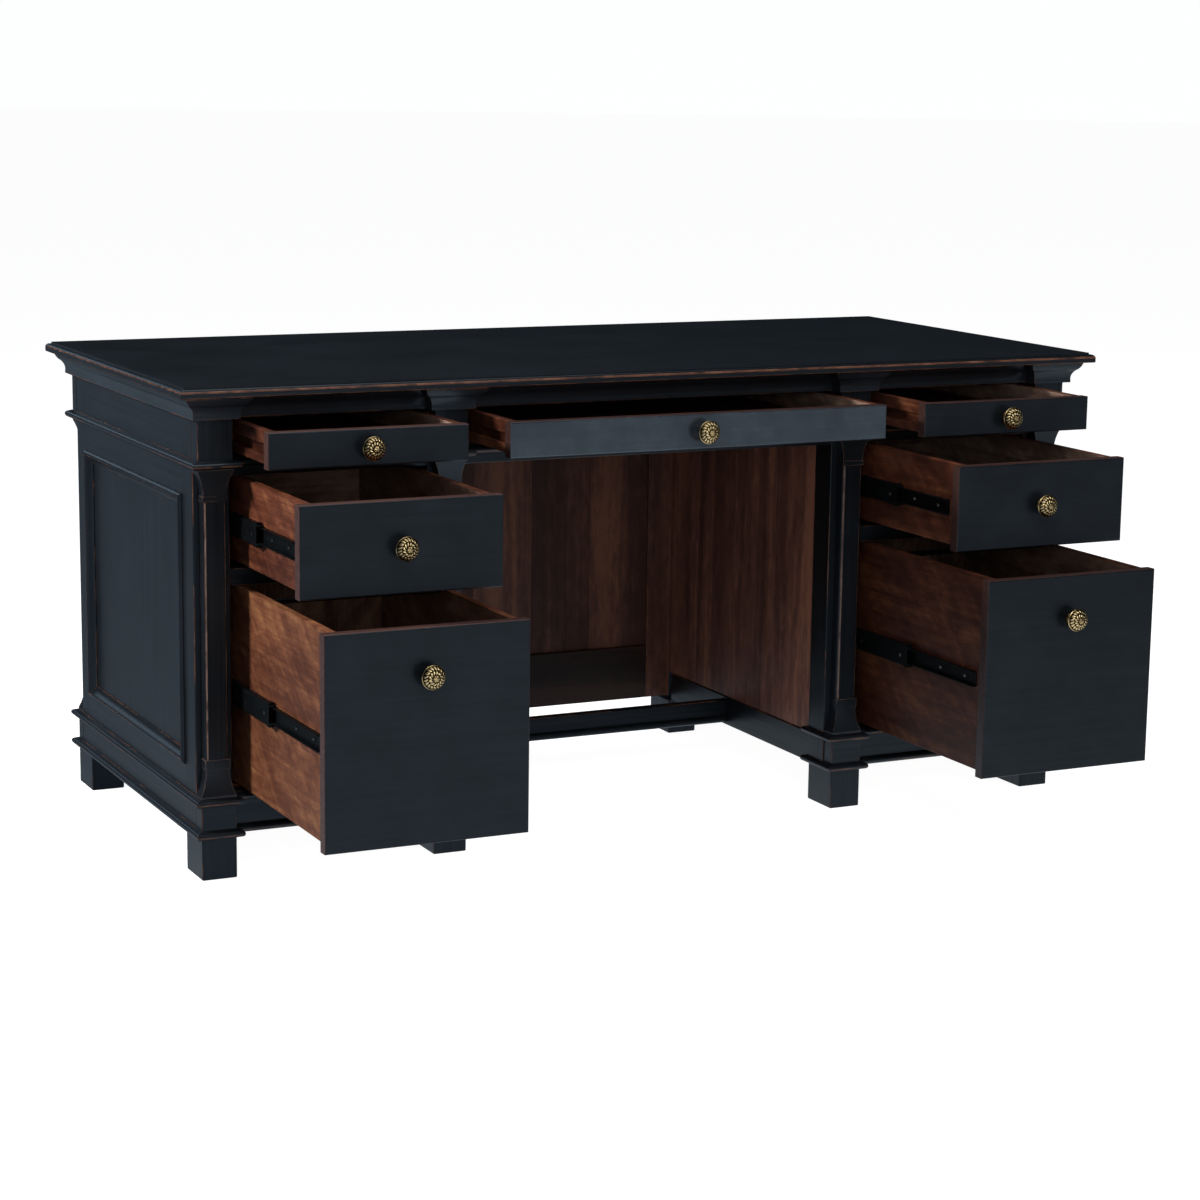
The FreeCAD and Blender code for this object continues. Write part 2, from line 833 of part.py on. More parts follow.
def frieze_drawer(x0, x1, out):
    """Drawer on wooden runners: front, grooved box, knob and its screw."""
    y = y_closed - out
    y_box = y + front_thickness
    x_mid = (x0 + x1) / 2
    z_mid = (z_frieze + z_frieze_top) / 2
    front = rounded_front(x0, x1, y, z_frieze, z_frieze_top, x_mid, z_mid)
    box0, box1 = x0 + frieze_side_inset, x1 - frieze_side_inset
    depth = frieze_drawer_depth
    sides, back, bottom = drawer_box(box0, box1, y_box, z_frieze, z_frieze_top, depth)
    cut = [grooved(sides[0], box0, 1, y_box, depth), grooved(sides[1], box1, -1, y_box, depth)]
    tab = stop_tab(x_mid, y_box + depth, z_frieze_top)
    return {"front": [front], "box": cut + [back, bottom, tab], "knob": knob_set(x_mid, y, z_mid)}


def slide_drawer(side, z0, z1, z_knob, out):
    """Drawer on ball-bearing slides."""
    x0, x1 = sorted((side * x_front_in, side * x_front_out))
    y = y_closed - out
    x_mid = (x0 + x1) / 2
    front = rounded_front(x0, x1, y, z0, z1, x_mid, z_knob)
    sides, back, bottom = drawer_box(x0 + slide_side_inset, x1 - slide_side_inset, y + front_thickness,
                                     z0, z1, slide_drawer_depth)
    z = slide_level(z0, z1)
    mids = mid_members(side, z, out) + ball_cages(side, z, out)
    return {"front": [front], "box": sides + [back, bottom], "knob": knob_set(x_mid, y, z_knob),
            "slides": drawer_members(side, z, out), "slide_mids": mids}


def file_drawer(side, out):
    """File drawer, with a steel cross bar between its sides for hanging folders."""
    pieces = slide_drawer(side, z_file, z_file_top, z_file_top - knob_drop, out)
    inset = slide_side_inset + side_thickness
    x0, x1 = side * (x_front_in + inset), side * (x_front_out - inset)
    y = y_box_closed - out + file_bar_place
    pieces["bar"] = [board(x0, x1, y, y + file_bar_width, z_file_top - file_bar_height, z_file_top)]
    return pieces


def box_drawer(side, out):
    return slide_drawer(side, z_box, z_box_top, (z_box + z_box_top) / 2, out)


def carcase():
    return {
        "desk_top": desk_top(),
        "cornice": cornice(),
        "frieze_blocks": stacked_blocks(z_floor, z_cornice),
        "rear_frieze": rear_frieze(),
        "waist_moulding": waist_moulding(),
        "pilaster_capitals": pilaster_pieces(capital_outline, z_waist - capital_cove - capital_ring),
        "pilaster_shafts": pilaster_shafts(),
        "pilaster_bases": pilaster_pieces(base_outline, z_base),
        "upper_base_moulding": base_moulding(upper_band, x_wall, z_upper),
        "plinth_blocks": stacked_blocks(z_plinth, z_upper),
        "plinth_boards": plinth_boards(),
        "lower_base_moulding": base_moulding(lower_band, x_knee_plinth, foot_height),
        "feet": feet(),
        "posts": posts(),
        "end_rails": end_rails(),
        "end_panels": end_panels(),
        "end_panel_mouldings": panel_mouldings(),
        "kneehole_walls": kneehole_walls(),
        "modesty_frame": modesty_frame(),
        "modesty_panel": modesty_panel(),
        "stretcher": stretcher(),
        "drawer_rails": drawer_rails(),
        "back_panels": back_panels(),
        "pedestal_floors": floors(),
        "frieze_linings": frieze_linings(),
        "frieze_runners": frieze_runners(),
        "stop_battens": stop_battens(),
        "slide_packers": slide_packers(),
        "cabinet_slides": cabinet_members(),
    }


def drawers():
    x_middle = x_centre - front_gap
    return {
        "left_frieze": frieze_drawer(-x_front_out, -x_front_in, left_frieze_out),
        "centre_frieze": frieze_drawer(-x_middle, x_middle, centre_frieze_out),
        "right_frieze": frieze_drawer(x_front_in, x_front_out, right_frieze_out),
        "left_box": box_drawer(-1, left_box_out),
        "right_box": box_drawer(1, right_box_out),
        "left_file": file_drawer(-1, left_file_out),
        "right_file": file_drawer(1, right_file_out),
    }


def drawer_nodes():
    made = {}
    for name, pieces in drawers().items():
        for piece, solids in pieces.items():
            made[name + "_" + piece] = solids
    return made


def main():
    os.makedirs("parts", exist_ok=True)
    nodes = carcase()
    nodes.update(drawer_nodes())
    for name, solids in nodes.items():
        shape = Part.makeCompound(solids)
        shape.translate(V(0, -y_middle, 0))
        shape.exportStep(os.path.join("parts", name + ".step"))
    print(len(nodes), "nodes,", sum(len(solids) for solids in nodes.values()), "solids")


main()
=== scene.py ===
import json
import math
import random

import bmesh
import bpy
from mathutils import Matrix, Vector

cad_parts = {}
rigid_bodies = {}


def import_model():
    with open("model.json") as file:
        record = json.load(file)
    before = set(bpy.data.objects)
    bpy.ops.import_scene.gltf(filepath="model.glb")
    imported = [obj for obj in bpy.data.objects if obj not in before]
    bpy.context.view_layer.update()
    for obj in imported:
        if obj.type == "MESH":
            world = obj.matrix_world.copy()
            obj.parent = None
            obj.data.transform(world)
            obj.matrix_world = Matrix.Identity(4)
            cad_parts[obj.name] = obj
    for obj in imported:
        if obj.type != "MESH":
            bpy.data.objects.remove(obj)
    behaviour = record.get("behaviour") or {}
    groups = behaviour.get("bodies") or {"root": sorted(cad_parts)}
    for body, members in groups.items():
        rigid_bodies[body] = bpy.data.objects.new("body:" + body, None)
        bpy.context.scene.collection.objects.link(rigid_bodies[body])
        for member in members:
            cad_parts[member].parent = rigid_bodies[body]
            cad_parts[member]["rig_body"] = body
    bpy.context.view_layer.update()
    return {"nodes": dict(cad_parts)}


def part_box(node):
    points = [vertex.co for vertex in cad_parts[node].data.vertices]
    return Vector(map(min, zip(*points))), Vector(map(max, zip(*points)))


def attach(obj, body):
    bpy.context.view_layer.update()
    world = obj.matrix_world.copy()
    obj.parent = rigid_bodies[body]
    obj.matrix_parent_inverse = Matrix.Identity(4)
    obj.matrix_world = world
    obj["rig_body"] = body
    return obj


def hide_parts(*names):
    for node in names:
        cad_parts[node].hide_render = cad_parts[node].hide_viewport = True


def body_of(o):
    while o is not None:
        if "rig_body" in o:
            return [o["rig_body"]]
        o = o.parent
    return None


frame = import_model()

# Pedestal desk, dressed for its looks. Metres, X along the front, Y to the back, Z up.
MM = 0.001
SEED = 41

# Edges of boards and metal
BOARD_EASE = 2.0 * MM
SHAFT_EASE = 0.6 * MM
FOOT_EASE = 2.2 * MM
BOX_EASE = 0.9 * MM
PLANK_EASE = 1.0 * MM
STEEL_EASE = 0.45 * MM
FRONT_EASE = 0.3 * MM
EASE_STEPS = 2
EASE_PROFILE_SHARE = 0.5
FACE_WEIGHT = 50
GRAIN_SHIFT = 9
SHARP_ANGLE = math.radians(28)
CREASE_ANGLE = math.radians(50)
FLAT_ANGLE = math.radians(0.3)
WELD_DIGITS = 6
PROBE = 0.8 * MM
PROBE_SHARES = (0.1, 0.3, 0.5, 0.7, 0.9)
INWARD_SHARE = 0.6
SLANT_SHARE = 0.8
LEVEL_SHARE = 0.02

# Middle heights and half widths of the lines along the mouldings where paint rubs off first
NOSES_TOP = ((780.4 * MM, 2.7 * MM), (771.9 * MM, 1.0 * MM))
NOSES_CORNICE = ((768.0 * MM, 1.8 * MM),)
NOSES_WAIST = ((660.5 * MM, 2.2 * MM),)
NOSES_UPPER_BASE = ((124.5 * MM, 2.2 * MM),)
NOSES_LOWER_BASE = ((71.5 * MM, 2.2 * MM),)
NOSE_END_SHARE = 0.50

# Knobs
KNOB_RADIUS = 19.0 * MM
KNOB_RIM = 18.5 * MM
KNOB_RIM_ROUND = 1.6 * MM
KNOB_TOP = 30.5 * MM
KNOB_SEAT_RADIUS = 10.5 * MM
KNOB_SEAT = 1.5 * MM
KNOB_WAIST_RADIUS = 6.3 * MM
KNOB_WAIST = 9.0 * MM
KNOB_BOSS_SHARE = 0.28
KNOB_BOSS_RISE = 1.0 * MM
KNOB_LOBES = 6
KNOB_LOBE_SHARE = 0.9
KNOB_GROOVE = 0.7 * MM
KNOB_LEAVES = 12
KNOB_GADROONS = 18
KNOB_SWIRL = 2.0
KNOB_LEAF_SHARE = 0.50
KNOB_PETAL_RISE = 1.5 * MM
KNOB_PETAL_START_SHARE = 0.33
KNOB_PETAL_END_SHARE = 0.92
KNOB_PETAL_SINK_SHARE = 0.5
KNOB_PETAL_POWER = 0.8
KNOB_END_SHARE = 0.06
KNOB_END_POWER = 0.7
KNOB_AROUND = 216
KNOB_RINGS = 32
KNOB_RIM_STEPS = 6
KNOB_UNDER_STEPS = 8
KNOB_UNDER_POWER = 0.6
KNOB_SEAT_STEPS = 6
KNOB_SEAT_POWER = 1.8
KNOB_SCREW_SCALE = 1.5

# How clean the metal is, from dark in a recess to bright on a raised part
PLAIN_CLEAN = 0.6
KNOB_UNDER_CLEAN = 0.35
KNOB_RIM_CLEAN = 0.75
KNOB_BOSS_CLEAN = 0.25
KNOB_LOBE_CLEAN = 0.50
KNOB_PETAL_CLEAN = 2.2
KNOB_GROOVE_CLEAN = -0.60
RECESS_CLEAN = 0.2

# Fixings on the slides
SCREW_RADIUS = 3.3 * MM
SCREW_RISE = 1.5 * MM
SCREW_SKIRT = 0.4 * MM
SCREW_STEPS = 7
SCREW_AROUND = 24
RECESS_SHARE = 0.6
RECESS_ARM_SHARE = 0.16
RECESS_DEPTH_SHARE = 0.5
RIVET_FLAT = 0.22
SLOT_LONG = 6.4 * MM
SLOT_WIDE = 2.4 * MM
SLOT_AROUND = 16
SLOT_NUDGE = 0.001
WEB = 1.2 * MM
WEB_LEAST_HEIGHT = 20.0 * MM
COLLAR_FRONT = 1.5 * MM
COLLAR_LENGTH = 11.0 * MM
COLLAR_HALF = 19.2 * MM
COLLAR_MOUTH_HALF = 13.5 * MM
COLLAR_DEPTH = 9.0 * MM
COLLAR_SKIN = 0.35 * MM
TONGUE_LENGTH = 9.0 * MM
TONGUE_HALF = 16.0 * MM
DRAWER_MEMBER_PLACES = (24.0 * MM, 98.0 * MM, 240.0 * MM, 420.0 * MM)
MID_MEMBER_PLACES = (22.0 * MM, 150.0 * MM, 380.0 * MM)
FIXING_GAP = 11.0 * MM
FIXING_DROP = 1.0 * MM

# Camera, solved from the desk's own corners
CAMERA_PLACE = (-2.16922, -4.38979, 1.29379)
CAMERA_YAW = math.radians(25.9675)
CAMERA_PITCH = math.radians(10.6967)
CAMERA_ROLL = math.radians(-0.7723)
SENSOR = 36.0
CAMERA_LENS = 86.68

# Surroundings
FLOOR_RADIUS = 60.0
FLOOR_AROUND = 96
FLOOR_GAP = 1.0 * MM
FLOOR_GLOW = 0.97
FLOOR_SHADE = (0.30, 0.30, 0.30)
FLOOR_DARK_SHARE = 0.96
FLOOR_SPECKS = (3.0, 2.0, 0.5)
FLOOR_ROUGHNESS = 0.9
BOUNCE_SHADE = (0.10, 0.10, 0.10)
WALL_HEIGHT = 22.0
BOUNCE_BACK = 0.218
BOUNCE_BACK_FAR = 0.170
BOUNCE_FRONT = 0.70
BOUNCE_EDGE = (-1.6, 0.8)
BOUNCE_NEAR = 0.6
BOUNCE_FAR = 4.5
BOUNCE_AHEAD = (0.6, -0.8, 0.0)
BOUNCE_BACK_COLOUR = (0.62, 0.81, 1.0, 1.0)
BOUNCE_FRONT_COLOUR = (0.90, 0.95, 1.0, 1.0)
BOUNCE_SIDE = (0.0, 2.2)
BOUNCE_SIDE_SHARE = 0.60
BOUNCE_DIM = (2.5, 6.5)
BOUNCE_DIM_SHARE = 0.88
WORLD_COLOUR = (0.55, 0.75, 1.0, 1.0)
WORLD_GLOW = 0.026

# Lights: name, place, point aimed at, size and power
SOFTBOXES = (("overhead_softbox", (-0.3, 0.5, 3.4), (0.0, 0.0, 0.4), (3.0, 2.4), 22.0),
             ("front_softbox", (-0.5, -2.9, 3.1), (0.0, -0.2, 0.5), (2.4, 1.6), 50.0))
RIM_CARD = ("rim_card", (-1.7, 4.0, 1.75), (-0.8, 0.0, 0.75), (1.2, 0.9), 3.6)
FILLS = (("key_softbox", (-3.3, 0.9, 2.25), (-0.7, -0.2, 0.6), (0.5, 0.5), 310.0),
         ("right_fill", (2.6, -3.6, 2.2), (0.0, -0.2, 0.5), (0.9, 0.9), 40.0),
         ("above_fill", (0.0, -0.9, 3.0), (0.0, -0.4, 0.4), (3.2, 1.2), 75.0),
         ("front_fill", (-1.7, -4.0, 1.35), (0.3, 0.0, 0.5), (2.0, 1.0), 44.0))

PEDESTALS = ("left", "right")
FRIEZES = ("left_frieze", "centre_frieze", "right_frieze")
SLIDE_DRAWERS = ("left_box", "right_box", "left_file", "right_file")
DRAWERS = FRIEZES + SLIDE_DRAWERS

draw = random.Random(SEED)


# Meshes
def shells(node):
    """Closed shells of a node's mesh, each a list of faces given by their corners."""
    mesh = frame["nodes"][node].data
    places = [tuple(round(value, WELD_DIGITS) for value in vertex.co) for vertex in mesh.vertices]
    found, faces, loose = [], [], set()
    for polygon in mesh.polygons:
        corners = [places[index] for index in polygon.vertices]
        faces.append(corners)
        for start, end in zip(corners, corners[1:] + corners[:1]):
            if (end, start) in loose:
                loose.remove((end, start))
            else:
                loose.add((start, end))
        if not loose:
            found.append(faces)
            faces = []
    return found


def welded(faces):
    """Bmesh of one shell with its corners joined and its flat faces made whole."""
    solid = bmesh.new()
    known = {}
    for corners in faces:
        for corner in corners:
            if corner not in known:
                known[corner] = solid.verts.new(corner)
        if len(set(corners)) > 2:
            solid.faces.new([known[corner] for corner in corners])
    bmesh.ops.dissolve_limit(solid, angle_limit=FLAT_ANGLE, verts=solid.verts[:], edges=solid.edges[:])
    return solid


def spans(nodes):
    """Lowest and highest corner of every shell of some nodes."""
    boxes = []
    for node in nodes:
        for faces in shells(node):
            points = [corner for corners in faces for corner in corners]
            boxes.append((tuple(map(min, zip(*points))), tuple(map(max, zip(*points)))))
    return boxes


def inside(point, boxes):
    """Whether a point lies in any of the boxes."""
    return any(all(low[axis] < point[axis] < high[axis] for axis in range(3)) for low, high in boxes)


def is_open(edge, boxes):
    """Whether an edge meets the air along much of its length, not a flush neighbour."""
    first, second = (face.normal for face in edge.link_faces)
    aside = PROBE * (first - second)
    free = 0
    for share in PROBE_SHARES:
        spot = edge.verts[0].co.lerp(edge.verts[1].co, share)
        free += not (inside(spot + aside, boxes) or inside(spot - aside, boxes))
    return 2 * free >= len(PROBE_SHARES)


def sharp_edges(solid, boxes):
    """Outward edges that a plane would take the corner off."""
    return [edge for edge in solid.edges
            if len(edge.link_faces) == 2 and edge.calc_face_angle_signed(0) > SHARP_ANGLE
            and is_open(edge, boxes)]


def ease_edges(solid, ease, boxes):
    """Eases the sharp edges and marks the middle of each as where paint wears off."""
    wear = solid.verts.layers.float.new("wear")
    made = bmesh.ops.bevel(solid, geom=sharp_edges(solid, boxes), offset=ease, segments=EASE_STEPS,
                           profile=EASE_PROFILE_SHARE, affect="EDGES", clamp_overlap=True)
    rounded = set(made["faces"])
    for vertex in made["verts"]:
        vertex[wear] = float(all(face in rounded for face in vertex.link_faces))
    for edge in solid.edges:
        edge.smooth = len(edge.link_faces) == 2 and edge.calc_face_angle(0) < CREASE_ANGLE


def wear_chamfers(solid):
    """Moves the wear of a shaft to the outer halves of its upright chamfers."""
    wear = solid.verts.layers.float["wear"]
    for vertex in solid.verts:
        vertex[wear] = 0.0
    for face in solid.faces:
        if max(abs(value) for value in face.normal) < SLANT_SHARE and abs(face.normal.z) < LEVEL_SHARE:
            middle = face.calc_center_median()
            for vertex in face.verts:
                vertex[wear] = float((vertex.co.y - middle.y) * face.normal.y > 0)


def axes_by_length(solid, first):
    """Axes from the longest to the shortest, with the named one put first if given."""
    lengths = []
    for axis in range(3):
        values = [vertex.co[axis] for vertex in solid.verts]
        lengths.append((max(values) - min(values), axis))
    order = [axis for length, axis in sorted(lengths, reverse=True)]
    if first is not None:
        order.remove(first)
        order.insert(0, first)
    return order


def mark_grain(solid, first, tones=None):
    """Gives a board its own run of grain and its own tone, or the tone set for the way it runs, which is
    painted shade where it is used.
    """
    order = axes_by_length(solid, first)
    shift = Vector([draw.uniform(0, GRAIN_SHIFT) for axis in range(3)])
    tone_value = draw.random()
    if tones:
        tone_value = tones[order[0]]
    grain = solid.verts.layers.float_vector.new("grain")
    tone = solid.verts.layers.float.new("tone")
    for vertex in solid.verts:
        vertex[grain] = Vector([vertex.co[axis] for axis in order]) + shift
        vertex[tone] = tone_value


def mark_inside(solid, middle):
    """Marks the faces of a board that look toward the middle of its drawer."""
    inner = solid.faces.layers.float.new("inner")
    for face in solid.faces:
        toward = (middle - face.calc_center_median()).normalized()
        face[inner] = float(face.normal.dot(toward) > INWARD_SHARE)


def added(name, solid, materials, smooth=True):
    """Scene object made from a bmesh."""
    mesh = bpy.data.meshes.new(name)
    solid.to_mesh(mesh)
    solid.free()
    for polygon in mesh.polygons:
        polygon.use_smooth = smooth
    for material in materials:
        mesh.materials.append(material)
    piece = bpy.data.objects.new(name, mesh)
    bpy.context.scene.collection.objects.link(piece)
    return piece


def gather(whole, solid):
    """Adds one bmesh to another, with its layers."""
    passing = bpy.data.meshes.new("passing")
    solid.to_mesh(passing)
    solid.free()
    whole.from_mesh(passing)
    bpy.data.meshes.remove(passing)


def squared(low, high):
    """Bmesh of a square block between two corners."""
    solid = bmesh.new()
    bmesh.ops.create_cube(solid, size=1.0)
    for vertex in solid.verts:
        for axis in range(3):
            vertex.co[axis] = high[axis] if vertex.co[axis] > 0 else low[axis]
    return solid


def eased(node, ease, first=None, boxes=(), square=False, tones=None, worn=False):
    """Bmesh of a node's pieces with eased edges, each with its own grain and tone."""
    whole = bmesh.new()
    low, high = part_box(node)
    solids = [squared(*span) for span in spans([node])] if square else map(welded, shells(node))
    for solid in solids:
        ease_edges(solid, ease, boxes)
        if worn:
            wear_chamfers(solid)
        mark_grain(solid, first, tones)
        mark_inside(solid, (low + high) / 2)
        gather(whole, solid)
    return whole


def weigh_normals(piece):
    """Keeps flat faces flat beside their eased edges."""
    even = piece.modifiers.new("even", "WEIGHTED_NORMAL")
    even.weight = FACE_WEIGHT
    even.keep_sharp = True


def stand_for(node, piece):
    """The piece replaces a node and rides where it rode."""
    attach(piece, body_of(frame["nodes"][node])[0])
    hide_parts(node)


def boards(node, material, slot, ease=BOARD_EASE, first=None, boxes=(), **choices):
    """Boards of one node, eased and finished."""
    piece = added(node + ".boards", eased(node, ease, first, boxes, **choices), [material])
    weigh_normals(piece)
    stand_for(node, piece)


# Materials
class Graph:
    """Node tree of one material, built from the coordinates to the shader."""

    def __init__(self, name):
        self.material = bpy.data.materials.new(name)
        self.material.use_nodes = True
        self.tree = self.material.node_tree
        self.shader = self.tree.nodes["Principled BSDF"]

    def node(self, kind, settings=None, **inputs):
        """New node; an input is given by its name, or by i and its number."""
        made = self.tree.nodes.new(kind)
        for key, value in (settings or {}).items():
            setattr(made, key, value)
        for key, value in inputs.items():
            self.feed(made, key, value)
        return made

    def feed(self, made, key, value):
        """Links a socket to an input, or sets the input to a plain value."""
        place = made.inputs[int(key[1:])] if key[0] == "i" and key[1:].isdigit() else made.inputs[key]
        if isinstance(value, bpy.types.NodeSocket):
            self.tree.links.new(value, place)
        else:
            place.default_value = value

    def math(self, operation, first, second=0.0):
        """Sum, product or other result of two values."""
        return self.node("ShaderNodeMath", {"operation": operation}, i0=first, i1=second).outputs[0]

    def blend(self, share, first, second):
        """First value by a share and second by the rest."""
        rest = self.math("MULTIPLY", second, 1.0 - share)
        return self.math("ADD", self.math("MULTIPLY", first, share), rest)

    def vector_math(self, operation, output, **inputs):
        """Result of a sum on vectors."""
        return self.node("ShaderNodeVectorMath", {"operation": operation}, **inputs).outputs[output]

    def noise(self, vector, scale, detail, roughness, distortion=0.0):
        """Soft noise, from 0 to 1."""
        made = self.node("ShaderNodeTexNoise", None, Vector=vector, Scale=scale, Detail=detail,
                         Roughness=roughness, Distortion=distortion)
        return made.outputs["Fac"]

    def grained(self, vector, scales, detail, roughness, distortion=0.0):
        """Noise drawn out by its own scale along each axis."""
        drawn_out = self.vector_math("MULTIPLY", 0, i0=vector, i1=scales)
        return self.noise(drawn_out, 1.0, detail, roughness, distortion)

    def ranged(self, value, low, high, out_low=0.0, out_high=1.0):
        """Smooth step of a value from one range to another."""
        made = self.node("ShaderNodeMapRange", {"interpolation_type": "SMOOTHSTEP"}, i0=value, i1=low,
                         i2=high, i3=out_low, i4=out_high)
        return made.outputs[0]

    def ramp(self, value, stops):
        """Colour of a value from stops of place and colour."""
        made = self.node("ShaderNodeValToRGB", None, Fac=value)
        band = made.color_ramp
        while len(band.elements) < len(stops):
            band.elements.new(0.5)
        for element, (place, colour) in zip(band.elements, stops):
            element.position = place
            element.color = (*colour, 1.0)
        return made.outputs[0]

    def mix(self, share, first, second):
        """Colour between two colours."""
        return self.node("ShaderNodeMix", {"data_type": "RGBA"}, i0=share, i6=first, i7=second).outputs[2]

    def bump(self, height, distance):
        """Normal roughened by a height."""
        made = self.node("ShaderNodeBump", None, Height=height, Distance=distance, Strength=1.0)
        return made.outputs["Normal"]

    def attribute(self, name, output):
        """Value that a mesh holds."""
        return self.node("ShaderNodeAttribute", {"attribute_name": name}).outputs[output]

    def place(self):
        """Place on the piece, in metres."""
        return self.node("ShaderNodeTexCoord").outputs["Object"]

    def facing(self, axis):
        """How far a face looks along an axis of its piece, from -1 to 1."""
        turned_to = self.node("ShaderNodeTexCoord").outputs["Normal"]
        return self.node("ShaderNodeSeparateXYZ", None, i0=turned_to).outputs[axis]

    def shade(self, **inputs):
        """Feeds the shader and gives the finished material."""
        names = {"colour": "Base Color", "roughness": "Roughness", "metallic": "Metallic",
                 "normal": "Normal", "specular": "Specular IOR Level", "tint": "Specular Tint"}
        for key, value in inputs.items():
            self.feed(self.shader, names[key], value)
        return self.material


# Paint. A pattern of noise gives its scale or scales, detail, roughness and, for some, distortion
PAINT_STOPS = ((0.34, (0.0024, 0.0030, 0.0038)), (0.66, (0.0056, 0.0070, 0.0090)))
PAINT_SHEEN_TINT = (0.70, 0.85, 1.0, 1.0)
PAINT_SHEEN = 0.42
PAINT_ROUGHNESS = 0.33
PAINT_STREAKS = ((2.5, 150.0, 150.0), 4.0, 0.6)
PAINT_STREAK_SHARE = 0.4
PAINT_CLOUDS = (5.0, 4.0, 0.6)
PAINT_CLOUD_DULL = 0.08
PAINT_BUMP = 0.05 * MM
END_RAIL_SHEEN = 0.58
STRETCHER_SHEEN = 0.2
MOULDING_SHEEN = 0.55
MOULDING_ROUGHNESS = 0.32
# Cornice paint lifted: painted light on the cornice, which sits in shade under the top
CORNICE_PAINTED_LIGHT_LIFT = 2.4
# Top paint darkened: painted shade, darker than the other paint for how the top looks under this light
TOP_PAINTED_SHADE_LIFT = 0.7
TOP_SHEEN = 0.5

# Wear of the paint
WORN_STOPS = ((0.0, (0.018, 0.0085, 0.0055)), (0.5, (0.062, 0.0225, 0.0108)), (1.0, (0.108, 0.0440, 0.0215)))
# Paler bare wood on the pilasters' arrises: partly worn wood, partly a painted highlight where the rounded
# arris catches the light
WORN_AND_HIGHLIGHT_STOPS = ((0.0, (0.034, 0.0180, 0.0130)), (0.5, (0.085, 0.0480, 0.0350)),
                   (1.0, (0.130, 0.0790, 0.0600)))
WORN_FADE = ((30.0, 60.0, 60.0), 3.0, 0.6)
WORN_FADE_SPAN = (0.30, 0.70)
WORN_DULL = 0.2
EDGE_RADIUS = 3.0 * MM
EDGE_SAMPLES = 6
EDGE_SPAN = (0.01, 0.24)
NOSE_CORE_SHARE = 0.3
NOSE_TURN_SPAN = (0.05, 0.4)
WEAR_PATCHES = (8.0, 4.0, 0.6)
WEAR_PATCH_SPAN = (0.60, 0.74)
WEAR_PULL = 0.22
WEAR_SPECKS = ((45.0, 160.0, 160.0), 3.0, 0.6)
WEAR_SPECK_SHARE = 0.5
WEAR_SPAN = (0.34, 0.66)
FULL_WEAR = 1.4
SHAFT_WEAR = 1.7
TOP_WEAR = 1.5
PILASTER_WEAR = 1.15
MOULDING_WEAR = 1.0


def lifted(stops, lift):
    """Colour stops made lighter or darker by a factor."""
    return tuple((place, tuple(lift * value for value in colour)) for place, colour in stops)


def edge_share(g):
    """How near a point lies to an outward corner, from 0 to 1."""
    rounded = g.node("ShaderNodeBevel", {"samples": EDGE_SAMPLES}, Radius=EDGE_RADIUS).outputs[0]
    plain = g.node("ShaderNodeNewGeometry").outputs["Normal"]
    together = g.vector_math("DOT_PRODUCT", "Value", i0=rounded, i1=plain)
    return g.ranged(g.math("SUBTRACT", 1.0, together), *EDGE_SPAN)


def nose_share(g, place, noses):
    """How near a point lies to the nose of a moulding, from 0 to 1, less on the desk's ends."""
    z = g.node("ShaderNodeSeparateXYZ", None, i0=place).outputs[2]
    share = None
    for height, half in noses:
        away = g.math("ABSOLUTE", g.math("SUBTRACT", z, height))
        near = g.ranged(away, half, NOSE_CORE_SHARE * half)
        share = near if share is None else g.math("MAXIMUM", share, near)
    forward = g.math("ABSOLUTE", g.facing(1))
    return g.math("MULTIPLY", share, g.ranged(forward, *NOSE_TURN_SPAN, NOSE_END_SHARE, 1.0))


def bare_share(g, near, place, along, wear):
    """Where the paint has gone: thin lines on the edges, broken in places unless the wear is full."""
    if wear < FULL_WEAR:
        low, high = (end - WEAR_PULL * wear for end in WEAR_PATCH_SPAN)
        near = g.math("MULTIPLY", near, g.ranged(g.noise(place, *WEAR_PATCHES), low, high))
    specks = g.math("SUBTRACT", g.grained(along, *WEAR_SPECKS), 0.5)
    rough = g.math("MULTIPLY", specks, WEAR_SPECK_SHARE)
    return g.ranged(g.math("ADD", near, rough), *WEAR_SPAN)


def brushed(g, sheen, streaks, share):
    """Sheen that varies a little with the strokes of the brush."""
    return g.math("MULTIPLY", g.math("ADD", g.math("MULTIPLY", streaks, share), 1.0 - share / 2), sheen)


def clouded(g, roughness, clouds, share):
    """Roughness that varies a little in soft clouds."""
    return g.math("ADD", g.math("MULTIPLY", clouds, share), roughness - share / 2)


def painted(name, by_grain=True, noses=(), wear=1.0, sheen=PAINT_SHEEN, roughness=PAINT_ROUGHNESS,
            lift=1.0, corners=True, brush=1.0, worn=WORN_STOPS):
    """Black satin paint with faint grain, rubbed through to brown wood along its edges."""
    g = Graph(name)
    place = g.place()
    along = g.attribute("grain", "Vector") if by_grain else place
    streaks = g.grained(along, *PAINT_STREAKS)
    clouds = g.noise(place, *PAINT_CLOUDS)
    near = edge_share(g) if corners and not by_grain else g.attribute("wear", "Fac")
    if noses:
        near = g.math("MAXIMUM", near, nose_share(g, place, noses))
    bare = bare_share(g, near, place, along, wear)
    wood = g.ramp(g.ranged(g.grained(along, *WORN_FADE), *WORN_FADE_SPAN), worn)
    paint = g.ramp(g.blend(PAINT_STREAK_SHARE, streaks, clouds), lifted(PAINT_STOPS, lift))
    dull = clouded(g, roughness, clouds, PAINT_CLOUD_DULL)
    dull = g.math("ADD", dull, g.math("MULTIPLY", bare, WORN_DULL))
    return g.shade(colour=g.mix(bare, paint, wood), roughness=dull, tint=PAINT_SHEEN_TINT,
                   specular=brushed(g, sheen, streaks, brush), normal=g.bump(streaks, PAINT_BUMP))


